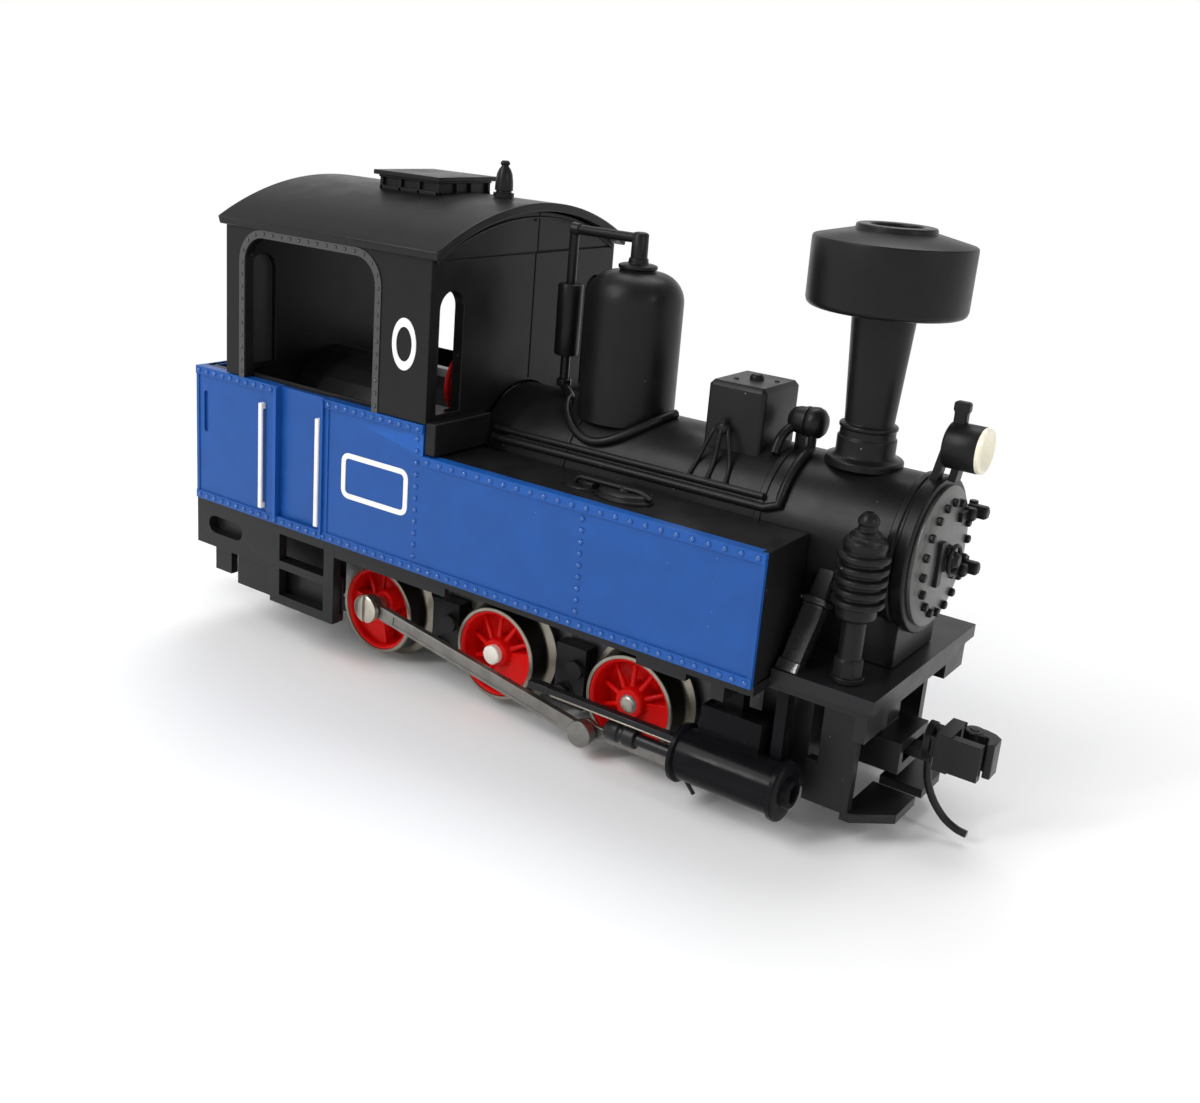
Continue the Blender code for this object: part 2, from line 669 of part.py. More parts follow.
def side_tanks():
    for side in SIDES:
        outer = mirrored(side, (TANK_HALF - WALL, TANK_HALF))
        made = prism("side_tank_" + side, "y", outer, side_sheet(TANK_Z[0]), blue())
        inner = mirrored(side, (5.25, TANK_HALF - 0.3))
        front = (TANK_X[1] - WALL, TANK_X[1] - 0.02)
        join(
            made,
            box("top", (CAB_X[1] + GAP, front[1]), inner, (TANK_Z[1] - WALL, TANK_Z[1] - 0.02), blue()),
            box("front", front, inner, (TANK_Z[0] + 0.02, TANK_Z[1] - 0.1), blue()),
        )
        recess = box("door", (-19.95, -15.05), mirrored(side, (TANK_HALF - 0.25, 12)), (11.9, 23), blue())
        cut(made, recess)
        bar_y = mirrored(side, (TANK_HALF - 0.5, TANK_HALF + HANDRAIL_OUT))
        for x in HANDRAIL_X:
            join(made, box("handrail", (x - 0.22, x + 0.22), bar_y, HANDRAIL_Z, blue()))
        filler_lid(made, side)


def bunker():
    half = TANK_HALF - WALL - GAP
    x = (TANK_X[0], CAB_X[0] - GAP)
    made = box("bunker", x, (-half, half), (TANK_Z[0], BUNKER_TOP), blue())
    inside = (x[0] + WALL, x[1] - WALL)
    cut(made, box("hollow", inside, (WALL - half, half - WALL), (10, BUNKER_TOP - WALL), blue()))


def roof_curve(radius, half, steps=12):
    """Points across the roof's arc from its left eave to its right one, as (y, z)."""
    spread = math.degrees(math.asin(half / radius))
    return arc((0, CROWN_Z - ROOF_R), radius, 90 - spread, 90 + spread, steps)


def door_opening():
    """The cab's side opening, with round upper corners, as (x, z)."""
    x, top, corner = (-23.85, -9.95), 33.8, 2.0
    rounded = arc((x[1] - corner, top - corner), corner, 0, 90, 4)
    rounded += arc((x[0] + corner, top - corner), corner, 90, 180, 4)
    return [(x[0], SILL_Z), (x[1], SILL_Z)] + rounded


def arched_window(y):
    """A window with a round head, as (y, z)."""
    low, high, sill, top = y[0], y[1], 23.2, 32.1
    middle, radius = (low + high) / 2, (high - low) / 2
    return [(low, sill), (high, sill)] + arc((middle, top - radius), radius, 0, 180, 6)


def cab():
    top = roof_curve(ROOF_R - ROOF_T - GAP, CAB_HALF)
    outline = [(-CAB_HALF, BUNKER_TOP + 0.05), (CAB_HALF, BUNKER_TOP + 0.05)] + top
    made = prism("cab", "x", CAB_X, outline, black())
    low = TANK_HALF - WALL - GAP
    join(
        made,
        box("front_wall", (CAB_X[1] - WALL, CAB_X[1]), (-low, low), (TANK_Z[1] + GAP, 23), black()),
        box("rear_wall", (CAB_X[0], CAB_X[0] + WALL), (-low, low), (18.3, 23), black()),
        box("ledge", (CAB_X[1] - 0.05, -3.75), (-low - 0.8, low + 0.8), (TANK_Z[1] + GAP, SILL_Z), black()),
    )
    inner = CAB_HALF - WALL
    room = [(-inner, 15), (inner, 15)] + roof_curve(ROOF_R - ROOF_T - GAP - WALL, inner)
    cut(made, prism("room", "x", (CAB_X[0] + WALL, CAB_X[1] - WALL), room, black()))
    cut(made, prism("doors", "y", (-13, 13), door_opening(), black()))
    for side in SIDES:
        low_y, high_y = mirrored(side, (7.55, 10.15))
        cut(made, prism("front_window", "x", (-6.5, -3), arched_window((low_y, high_y)), black()))
        rear_y = mirrored(side, (6.9, 9.6))
        cut(made, prism("rear_window", "x", (-27, -24.5), arched_window(rear_y), black()))
    cut(made, rod_between("boiler_hole", "x", (-6.5, -3), (0, BOILER_Z), BOILER_R + GAP, black(), 24))


def roof():
    outer = roof_curve(ROOF_R, ROOF_HALF)
    inner = roof_curve(ROOF_R - ROOF_T, ROOF_HALF - 0.25)
    prism("cab_roof", "x", ROOF_X, outer + inner[::-1], black())


def roof_ventilator():
    """A raised frame with an overhanging flat lid."""
    made = box("roof_ventilator", (-17.6, -11.5), (-3.1, 3.1), (CROWN_Z + 0.08, 39.1), black())
    join(made, box("lid", (-18.0, -11.1), (-3.5, 3.5), (38.95, 39.35), black()))


def whistle():
    x, foot = -7.65, CROWN_Z + 0.08
    profile = [(foot, 0.75), (foot + 0.4, 0.75), (foot + 0.4, 0.45), (foot + 0.9, 0.45)]
    profile += [(foot + 1.0, 0.6), (foot + 2.0, 0.6), (foot + 2.3, 0.3), (foot + 2.7, 0.3)]
    turned("whistle", "z", (x, 0), profile, black(), 10)


def motor_cover():
    """The arched cover over the motor inside the cab, with the cab floor around it."""
    x, radius, centre_z = (-24.9, -8.3), 6.0, 17.9
    outline = arc((0, centre_z), radius, 0, 180, 12)
    made = prism("motor_cover", "x", x, outline, black())
    join(made, box("floor", (-25.1, -5.7), (-10.2, 10.2), (17.3, 18.0), black()))
    wheel_x, wheel_y, wheel_z = HANDWHEEL
    join(made, rod_between("column", "z", (17.8, wheel_z + 0.4), (wheel_x - 0.85, wheel_y), 0.35, black(), 8))
    hollow = [(-5.4, 16), (5.4, 16)] + arc((0, 17.2), 5.4, 0, 180, 12)
    cut(made, prism("hollow", "x", (x[0] + 0.6, x[1] - 0.6), hollow, black()))
    cut(made, box("motor_room", (x[0] - 1, x[1] + 0.3), (-5.2, 5.2), (15, 19.3), black()))


def handwheel():
    """The red brake wheel inside the cab's front window."""
    x, y, z = HANDWHEEL
    outer_r, inner_r, half = 2.75, 2.35, 0.2
    made = rod_between("handwheel", "x", (x - half, x + half), (y, z), outer_r, red(), 16)
    cut(made, rod_between("hole", "x", (x - 1, x + 1), (y, z), inner_r, red(), 16))
    join(made, rod_between("hub", "x", (x - 0.4, x + 0.3), (y, z), 0.5, red(), 10))
    for k in range(3):
        angle = math.pi * k / 3
        across, up = (inner_r + 0.2) * math.cos(angle), (inner_r + 0.2) * math.sin(angle)
        ends = [(x, y - across, z - up), (x, y + across, z + up)]
        join(made, swept("spoke", ends, 0.15, red(), 6))


def boiler():
    """The boiler with its smokebox saddle, the plate between the tanks, and two steam pipes."""
    rear, front = BOILER_X
    band = 0.9
    centre = (0, BOILER_Z)
    profile = [(rear, BOILER_R), (front - band, BOILER_R), (front - band, 5.3), (front, 5.2)]
    made = turned("boiler", "x", centre, profile, black(), 24)
    join(made, box("saddle", (23.7, 29.3), (-3.4, 3.4), (DECK_Z + 0.05, 16.5), black()))
    for sign in SIDES.values():
        steam_pipe(made, sign)
    below_deck = box("below_deck", (23.3, 30), (-10, 10), (8, DECK_Z + 0.05), black())
    hollow = rod_between("hollow", "x", (rear + 0.6, front - 0.8), centre, BOILER_R - 0.7, black(), 24)
    worm_room = box("worm_room", (rear - 1, 7.0), (-3.4, 3.4), (10, 16.4), black())
    cut(made, below_deck, hollow, worm_room)
    apron = box("apron", (22.3, DECK_X[0] - GAP), (-5.15, 5.15), (PLATE_Z[1] + GAP, 15.0), black())
    join(made, apron)
    generator(made)


def steam_pipe(shell, sign):
    """A square pipe that slants from the deck up to the smokebox, with a flange at both ends."""
    foot = Vector((24.25, sign * 8.0, DECK_Z - 0.4))
    head = Vector((24.65, sign * 4.3, 18.2))
    join(
        shell,
        swept("steam_pipe", [foot, head], 0.8, black(), 4),
        swept("foot_flange", [foot, foot.lerp(head, 0.12)], 0.95, black(), 4),
        swept("head_flange", [foot.lerp(head, 0.66), foot.lerp(head, 0.74)], 1.0, black(), 4),
    )


def generator(shell):
    """The small generator on its foot across the boiler's crown, in front of the sand box."""
    crown = BOILER_Z + BOILER_R
    z, radius = crown + 1.8, 0.95
    profile = [(18.2, 0.45), (18.6, radius), (20.4, radius), (20.8, 0.45)]
    join(shell, turned("generator", "x", (0, z), profile, black(), 12))
    join(shell, box("generator_foot", (19.1, 19.9), (-0.5, 0.5), (crown - 0.4, z - 0.5), black()))


def ballast():
    rod_between("ballast_weight", "x", (8.0, 28.6), (0, BOILER_Z), BOILER_R - 1.0, zinc(), 20)


def smokebox_door():
    """The door with its two hinge lugs and its central dart."""
    face = BOILER_X[1] + 0.05
    profile = [(face, 4.7), (face + 0.25, 4.7), (face + 0.35, 3.9), (face + 0.6, 3.75), (face + 0.8, 2.0)]
    made = turned("smokebox_door", "x", (0, BOILER_Z), profile, black(), 16)
    dart = [(face + 0.5, 0.9), (face + 1.1, 0.9), (face + 1.1, 0.5), (face + 1.8, 0.45)]
    join(made, turned("dart", "x", (0, BOILER_Z), dart, black(), 10))
    for dz in (-1.4, 2.5):
        z = BOILER_Z + dz
        strap = box("strap", (face + 0.2, face + 0.95), (1.2, 4.0), (z - 0.35, z + 0.35), black())
        pin = rod_between("hinge", "x", (face + 0.1, face + 1.7), (3.7, z), 0.55, black(), 6)
        join(made, strap, pin)


def chimney():
    """The stack with its flange, its stepped collar and its wide spark arrester."""
    foot = BOILER_Z + BOILER_R + GAP
    stack = [(foot, 2.6), (foot + 0.3, 2.5), (foot + 0.7, 1.96), (26.1, 1.96)]
    stack += [(26.2, 1.85), (26.9, 1.85), (26.95, 1.61), (34.4, 2.1)]
    arrester = [(34.4, 4.85), (34.55, 5.08), (34.8, 5.17), (38.74, 5.2)]
    top = [(39.5, 2.6), (39.5, 2.45), (39.8, 2.4), (39.8, 1.5), (38.9, 1.4)]
    turned("chimney", "z", (CHIMNEY_X, 0), stack + arrester + top, black(), 16)


def steam_dome():
    foot = BOILER_Z + BOILER_R + GAP
    radius, shoulder_z, corner = 3.55, 32.2, 2.1
    profile = [(foot, radius + 0.2), (foot + 0.3, radius), (shoulder_z, radius)]
    profile += [(shoulder_z + rise, reach) for reach, rise in arc((radius - corner, 0), corner, 15, 90, 4)]
    profile += [(34.35, 1.15), (34.95, 1.15), (34.95, 0.6), (35.3, 0.6)]
    turned("steam_dome", "z", (DOME_X, 0), profile, black(), 18)


def dome_pipe():
    """The pipe from the dome back and down through a silencer."""
    drop_x, top, pipe_r = -0.75, 36.95, 0.4
    made = rod_between("dome_pipe", "z", (35.4, top), (DOME_X, 0), 0.5, black(), 8)
    silencer = [(27.0, 0.6), (27.3, 0.95), (32.5, 0.95), (32.8, 0.6)]
    across = (drop_x - 0.35, DOME_X)
    join(
        made,
        rod_between("valve", "z", (36.0, 36.9), (DOME_X, 0), 0.75, black(), 8),
        rod_between("top_pipe", "x", across, (0, top - 0.3), pipe_r, black(), 8),
        rod_between("drop", "z", (24.8, top), (drop_x, 0), pipe_r, black(), 8),
        turned("silencer", "z", (drop_x, 0), silencer, black(), 8),
        rod_between("nut", "z", (24.6, 25.4), (drop_x, 0), 0.7, black(), 6),
    )


def sand_box():
    rear, front = 13.2, 17.6
    half, top = 2.6, 28.3
    made = box("sand_box", (rear, front), (-half, half), (22.6, top), black())
    knob = [(top - 0.2, 0.4), (top + 0.2, 0.4), (top + 0.4, 0.25)]
    join(made, turned("knob", "z", ((rear + front) / 2, 0), knob, black(), 10))
    cut(made, rod_between("saddle", "x", (rear - 2, front + 2), (0, BOILER_Z), BOILER_R + 0.2, black(), 24))


def headlamp():
    """The lamp with its ring on top, its upright foot and the stay behind it."""
    x, z = 29.4, 26.7
    rim_r, lens_r = 1.55, 1.36
    profile = [(x, 1.1), (x + 0.2, 1.35), (x + 1.4, 1.4), (x + 1.5, rim_r), (x + 2.4, rim_r)]
    made = turned("headlamp", "x", (0, z), profile, black(), 16)
    join(
        made,
        box("foot", (x + 0.4, x + 0.9), (-0.55, 0.55), (BOILER_Z + 5.4, z - 0.5), black()),
        swept("stay", [(x - 1.05, 0, BOILER_Z + 5.45), (x + 0.6, 0, z - 0.6)], 0.3, black(), 6),
        box("loop", (x + 0.35, x + 0.85), (-0.55, 0.55), (z + 0.4, z + 2.9), black()),
    )
    cut(made, rod_between("bezel", "x", (x + 1.7, x + 3), (0, z), lens_r + 0.06, black(), 16))
    bulge = [(x + 1.75, lens_r), (x + 2.45, lens_r), (x + 2.75, 0.8)]
    turned("headlamp_lens", "x", (0, z), bulge, lens(), 16)


def air_pump():
    """The ribbed pump standing on its post at the front of the right tank."""
    foot = DECK_Z + 0.05
    profile = [(foot, 1.1), (foot + 0.4, 1.1), (foot + 0.5, 0.75), (16.2, 0.75), (16.4, 1.3)]
    for k in range(5):
        z = 17.4 + 0.75 * k
        profile += [(z, 1.3), (z + 0.3, 1.7)]
    profile += [(21.1, 1.3), (22.0, 0.9), (22.4, 0.5), (23.3, 0.5)]
    turned("air_pump", "z", (27.75, -7.0), profile, black(), 10)


# Couplers


def coupler(end, sign):
    """A knuckle coupler: its box, the shank with the head, and the swinging knuckle."""

    def across(low, high):
        return tuple(sorted((sign * low, sign * high)))

    pivot = (sign * COUPLER_PIVOT, 0)
    low, high = COUPLER_Z
    pocket = box("coupler_box_" + end, across(25.6, 30.4), (-2.4, 2.4), (low - 0.8, high + 0.8), black())
    cut(pocket, box("pocket", across(26.4, 31), (-1.8, 1.8), (low - 0.1, high + 0.1), black()))
    join(pocket, rod_between("pin", "z", (low - 0.5, high + 0.5), pivot, 0.5, black(), 8))
    join(pocket, box("post", across(25.65, 28.6), (-1.4, 1.4), (high + 0.6, PLATE_Z[0] - 0.15), black()))
    shank = box("coupler_" + end, across(COUPLER_PIVOT, 32.8), (-0.7, 0.7), (low, high), black())
    join(
        shank,
        rod_between("eye", "z", (low, high), pivot, 0.95, black(), 10),
        box("guard", across(31.2, 31.9), (-1.1, 1.1), (4.9, 8.0), black()),
        box("head", across(31.7, 33.3), (-1.55, 1.55), (5.2, 8.0), black()),
        box("fixed_jaw", across(33.1, COUPLER_TIP - 0.5), (-1.55, -0.75), (5.3, 7.9), black()),
    )
    curve = [(31.5, 5.4), (31.6, 4.2), (32.1, 2.9), (32.9, 1.9), (33.9, 1.2), (34.9, 0.75)]
    join(shank, swept("trip_pin", [(sign * x, 0, z) for x, z in curve], 0.3, black(), 6))
    cut(shank, rod_between("pivot", "z", (4, 8), pivot, 0.5 + RUN, black(), 8))
    pin_x, pin_y = sign * KNUCKLE_PIN[0], KNUCKLE_PIN[1]
    cut(shank, rod_between("knuckle_room", "z", (5.0, 8.4), (pin_x, pin_y), 0.85, black(), 10))
    on_axis(shank, pivot[0], 0, 0)
    jaw = rod_between("knuckle_" + end, "z", (5.3, 7.9), (pin_x, pin_y), 0.7, black(), 8)
    outline = [(33.8, 1.55), (34.6, 1.6), (COUPLER_TIP, 1.0), (COUPLER_TIP, -0.45)]
    outline += [(35.3, -0.5), (35.1, 0.5), (34.2, 0.5)]
    join(jaw, prism("claw", "z", (5.3, 7.9), [(sign * x, y) for x, y in outline], black()))
    on_axis(jaw, pin_x, pin_y, 0)


def main():
    clear_scene()
    gear_train()
    worm()
    motor()
    chassis()
    keeper_plate()
    keeper_screws()
    pickup_strips()
    wheelsets()
    crankpin_screws()
    main_rods()
    crossheads()
    cylinders()
    running_plate()
    side_tanks()
    bunker()
    cab()
    roof()
    roof_ventilator()
    whistle()
    motor_cover()
    handwheel()
    boiler()
    ballast()
    smokebox_door()
    chimney()
    steam_dome()
    dome_pipe()
    sand_box()
    headlamp()
    air_pump()
    coupler("front", 1)
    coupler("rear", -1)


main()
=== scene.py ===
"""The looks of the small tank locomotive: fine meshes, finishes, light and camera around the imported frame.

Sizes in the script are millimetres; MM turns them into the frame's metres.
+X is forward, +Y is to the left, +Z is up, and the wheels stand on z = 0.
"""

import json
from math import asin, atan2, cos, degrees, radians, sin, sqrt, tau

import bmesh
import bpy
from mathutils import Matrix, Vector


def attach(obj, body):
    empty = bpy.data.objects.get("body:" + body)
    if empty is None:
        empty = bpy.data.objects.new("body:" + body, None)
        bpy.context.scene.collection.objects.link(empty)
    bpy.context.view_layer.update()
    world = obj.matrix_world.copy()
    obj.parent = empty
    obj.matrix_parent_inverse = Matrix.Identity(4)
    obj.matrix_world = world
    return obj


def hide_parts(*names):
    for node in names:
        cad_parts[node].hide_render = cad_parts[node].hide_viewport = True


MM = 0.001
SIDES = {"right": -1, "left": 1}

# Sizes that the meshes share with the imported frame
AXLE_X = {"rear": -13.35, "middle": -0.95, "front": 11.45}
AXLE_Z = 4.45
CRANK_R = 1.6
CRANK_DEG = {"right": 44.0, "left": 134.0}
ROD_LENGTH = 21.49
CROSSHEAD_Z = 2.05
TANK_X = (-29.7, 23.3)
STEP_X = -4.8
TANK_Z = (11.3, 20.3)
CAB_TOP = 22.6
SHEET_Y = (10.45, 11.2)
FLANGE_Y = 11.36
DOOR_X = (-19.95, -15.05)
CAB_X = (-26.05, -4.65)
CAB_HALF = 11.25
OPENING_X = (-23.85, -9.95)
OPENING_TOP = 33.8
ROOF_X = (-26.5, -3.8)
ROOF_HALF = 11.75
CROWN_Z = 38.15
ROOF_R = 23.82
ROOF_T = 0.65
BOILER_Z = 19.26
BOILER_R = 5.1
BOILER_X = (-4.55, 29.85)
DECK_Z = 12.05
DOME_X = 5.03
CHIMNEY_X = 24.03
HANDRAIL_X = (-21.65, -15.3)
HANDWHEEL = (-6.9, -3.9, 24.4)
CYLINDER_X = (17.3, 25.5)
CYLINDER_Y = 8.5
CYLINDER_Z = 3.75

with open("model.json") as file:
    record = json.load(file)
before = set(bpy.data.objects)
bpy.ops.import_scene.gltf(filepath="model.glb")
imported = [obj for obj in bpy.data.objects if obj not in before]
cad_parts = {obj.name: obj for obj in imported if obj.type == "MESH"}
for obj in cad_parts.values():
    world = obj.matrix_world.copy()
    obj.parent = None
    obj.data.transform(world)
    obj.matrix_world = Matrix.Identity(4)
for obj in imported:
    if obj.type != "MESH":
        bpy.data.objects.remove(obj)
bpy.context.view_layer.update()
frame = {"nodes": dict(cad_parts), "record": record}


# Closed shapes, each a list of points in millimetres and a list of faces


BOX_FACES = [(0, 1, 3, 2), (4, 6, 7, 5), (0, 4, 5, 1), (2, 3, 7, 6), (0, 2, 6, 4), (1, 5, 7, 3)]


def across(side, low, high):
    """A span of distances from the centre line, as y values on that side, low to high."""
    return tuple(sorted((SIDES[side] * low, SIDES[side] * high)))


def box(x, y, z):
    return [(x[i], y[j], z[k]) for k in (0, 1) for j in (0, 1) for i in (0, 1)], BOX_FACES


def bar(start, end, width, depth):
    """A slanted bar with flat sides, of which two face along X as far as its slant allows."""
    ends = (Vector(start), Vector(end))
    along = (ends[1] - ends[0]).normalized()
    side = (Vector((1, 0, 0)) - along * along.x).normalized() * width / 2
    out = along.cross(side).normalized() * depth / 2
    corners = [place + side * i + out * j for place in ends for j in (-1, 1) for i in (-1, 1)]
    return corners, BOX_FACES


def placed(axis, along, u, v):
    """A point from its place along an axis and its two other coordinates, in x, y, z order."""
    return {"x": (along, u, v), "y": (u, along, v), "z": (u, v, along)}[axis]


def circle(sides):
    """Cosines and sines of evenly spaced angles."""
    return [(cos(tau * k / sides), sin(tau * k / sides)) for k in range(sides)]


def sleeve(rings, sides, closed=False):
    """Faces between neighbouring rings of points."""
    faces = []
    for i in range(rings if closed else rings - 1):
        a, b = i * sides, (i + 1) % rings * sides
        for k in range(sides):
            j = (k + 1) % sides
            faces.append((a + k, a + j, b + j, b + k))
    return faces


def capped(points, sides):
    """Rings of points, with faces between them and over the two ends."""
    ends = [tuple(range(sides)), tuple(range(len(points) - sides, len(points)))]
    return points, ends + sleeve(len(points) // sides, sides)


def prism(axis, span, outline):
    """An outline of (u, v) points carried along an axis."""
    return capped([placed(axis, along, u, v) for along in span for u, v in outline], len(outline))


def rings(axis, centre, profile, sides, start=0.0, way=1, squash=(1.0, 1.0)):
    """Rings around an axis, from a profile of (distance along the axis from the start, radius)."""
    (u, v), (wide, high) = centre, squash
    return [
        placed(axis, start + way * along, u + wide * radius * c, v + high * radius * s)
        for along, radius in profile
        for c, s in circle(sides)
    ]


def turned(axis, centre, profile, sides=48, **how):
    """A turned solid; its two ends are closed."""
    return capped(rings(axis, centre, profile, sides, **how), sides)


def hoop(axis, centre, profile, sides=64, **how):
    """A ring whose profile is a closed loop."""
    return rings(axis, centre, profile, sides, **how), sleeve(len(profile), sides, closed=True)


def tube(path, radius, sides=14):
    """A round bar along a list of points; radius may be one number or one for each point."""
    route = [Vector(p) for p in path]
    radii = radius if isinstance(radius, list) else [radius] * len(route)
    points, side = [], None
    for i, here in enumerate(route):
        ahead = (route[min(i + 1, len(route) - 1)] - route[max(i - 1, 0)]).normalized()
        side = ahead.orthogonal() if side is None else side
        side = (side - ahead * side.dot(ahead)).normalized()
        other = ahead.cross(side)
        points += [here + (side * c + other * s) * radii[i] for c, s in circle(sides)]
    return capped(points, sides)


def eased(points, steps=8):
    """A smooth curve through a list of points."""
    route = [Vector(p) for p in points]
    padded = [route[0] * 2 - route[1]] + route + [route[-1] * 2 - route[-2]]
    curve = []
    for i in range(1, len(padded) - 2):
        a, b, c, d = padded[i - 1 : i + 3]
        for k in range(steps):
            t = k / steps
            bend = (2 * a - 5 * b + 4 * c - d) * t**2 + (3 * b - a - 3 * c + d) * t**3
            curve.append(0.5 * (2 * b + (c - a) * t + bend))
    return curve + [route[-1]]


def elbows(points, radius, steps=6):
    """Straight runs between points, with each inner corner turned into an arc."""
    route = [Vector(p) for p in points]
    path = [route[0]]
    for before, corner, after in zip(route, route[1:], route[2:]):
        start = corner + (before - corner).normalized() * radius
        end = corner + (after - corner).normalized() * radius
        for k in range(steps + 1):
            t = k / steps
            path.append(start * (1 - t) ** 2 + corner * 2 * t * (1 - t) + end * t**2)
    return path + [route[-1]]


def arc(centre, radius, start_deg, end_deg, steps):
    """Points on an arc, both ends included."""
    turns = [radians(start_deg + (end_deg - start_deg) * k / steps) for k in range(steps + 1)]
    return [(centre[0] + radius * cos(a), centre[1] + radius * sin(a)) for a in turns]


def rounded(x, y, corner, inset=0.0, steps=6):
    """A rectangle's outline with round corners, drawn in by the inset."""
    (left, right), (low, high) = (x[0] + corner, x[1] - corner), (y[0] + corner, y[1] - corner)
    points = []
    for k, centre in enumerate(((right, high), (left, high), (left, low), (right, low))):
        points += arc(centre, corner - inset, 90 * k, 90 * k + 90, steps)
    return points


def band(y, outer, inner, is_open=False):
    """A flat band between two outlines in x and z; an open one stops at its first two points."""
    count = len(outer)
    points = [(u, along, v) for along in y for u, v in outer + inner]
    faces = [(i, count + i, 3 * count + i, 2 * count + i) for i in (0, 1)] if is_open else []
    for i in range(1 if is_open else 0, count):
        j = (i + 1) % count
        for first, rise in ((0, count), (2 * count, count), (0, 2 * count), (count, 2 * count)):
            faces.append((first + i, first + j, first + j + rise, first + i + rise))
    return points, faces


def dome(place, normal, radius=0.17, height=0.13, sides=10):
    """A low rivet head, sunk a little into what it stands on."""
    out = Vector(normal).normalized()
    side = out.orthogonal().normalized()
    other = out.cross(side)
    levels = [(-0.05, 1.0), (0.35 * height, 0.97), (0.78 * height, 0.68), (height, 0.25)]
    points = [
        Vector(place) + out * rise + (side * c + other * s) * radius * share
        for rise, share in levels
        for c, s in circle(sides)
    ]
    return capped(points, sides)


def row(start, end, pitch, normal, **size):
    """Rivet heads from start to end, evenly spaced at about the pitch."""
    a, b = Vector(start), Vector(end)
    count = max(1, round((b - a).length / pitch))
    return [dome(a.lerp(b, k / count), normal, **size) for k in range(count + 1)]


# Finishes


# The height of a surface's fine grain
GRAIN = 0.004


def feed(tree, node, inputs):
    """Gives a node's inputs their values, or the outputs of other nodes."""
    for key, value in dict(inputs).items():
        if isinstance(value, bpy.types.NodeSocket):
            tree.links.new(value, node.inputs[key])
        else:
            node.inputs[key].default_value = value


def add_node(tree, kind, inputs=(), **settings):
    made = tree.nodes.new("ShaderNode" + kind)
    for key, value in settings.items():
        setattr(made, key, value)
    feed(tree, made, inputs)
    return made


def maths(tree, operation, a, b=0.5):
    return add_node(tree, "Math", {0: a, 1: b}, operation=operation).outputs[0]


def noise(tree, coords, scale, detail=3.0):
    inputs = {"Vector": coords, "Scale": scale, "Detail": detail, "Roughness": 0.55}
    return add_node(tree, "TexNoise", inputs).outputs["Fac"]


def spread(tree, value, low, high, out_low=0.0, out_high=1.0):
    """The part of a value between low and high, spread over a new range."""
    inputs = {"Value": value, "From Min": low, "From Max": high, "To Min": out_low, "To Max": out_high}
    return add_node(tree, "MapRange", inputs).outputs["Result"]


def blend_colour(tree, share, a, b):
    return add_node(tree, "Mix", {0: share, 6: a, 7: b}, data_type="RGBA").outputs[2]


def bumps(tree, height, strength, grain=GRAIN):
    inputs = {"Height": height, "Strength": strength, "Distance": grain * MM}
    return add_node(tree, "Bump", inputs).outputs["Normal"]


def shade(colour, factor):
    return tuple(min(1.0, c * factor) for c in colour) + (1.0,)


# The record's material slot of each finish
SLOT_OF = {}


def new_finish(name, slot=None):
    finish = bpy.data.materials.new(name)
    SLOT_OF[finish.name] = slot
    finish.use_nodes = True
    tree = finish.node_tree
    place = add_node(tree, "TexCoord").outputs["Object"]
    millimetres = add_node(tree, "VectorMath", {0: place, "Scale": 1 / MM}, operation="SCALE")
    return finish, tree, tree.nodes["Principled BSDF"], millimetres.outputs["Vector"]


def plastic(name, colour, roughness, slot="black_plastic", vary=0.18, dust=0.35, worn=1.8, gloss=0.5):
    """Moulded plastic: mottled colour, fine grain, rubbed edges and a few specks of dust."""
    finish, tree, shader, coords = new_finish(name, slot)
    cloud = noise(tree, coords, 0.45, 4.0)
    fine = noise(tree, coords, 5.5, 2.0)
    patches = spread(tree, cloud, 0.3, 0.7)
    mottled = blend_colour(tree, patches, shade(colour, 1 - vary), shade(colour, 1 + vary))
    edge = add_node(tree, "NewGeometry").outputs["Pointiness"]
    rubbed = maths(tree, "MULTIPLY", spread(tree, edge, 0.53, 0.62), fine)
    with_edges = blend_colour(tree, rubbed, mottled, shade(colour, worn))
    cells = add_node(tree, "TexVoronoi", {"Vector": coords, "Scale": 0.85, "Randomness": 1.0})
    near = spread(tree, cells.outputs["Distance"], 0.02, 0.055, 1.0, 0.0)
    chosen = spread(tree, add_node(tree, "SeparateColor", {0: cells.outputs["Color"]}).outputs[0], 0.62, 0.66)
    speck = maths(tree, "MULTIPLY", maths(tree, "MULTIPLY", near, chosen), dust)
    dusty = blend_colour(tree, speck, with_edges, (0.42, 0.41, 0.38, 1.0))
    feed(tree, shader, {
        "Base Color": dusty,
        "Roughness": spread(tree, cloud, 0.3, 0.7, roughness - 0.05, roughness + 0.07),
        "Specular IOR Level": gloss,
        "Normal": bumps(tree, maths(tree, "ADD", noise(tree, coords, 9.0, 2.0), cloud), 0.5),
    })
    return finish


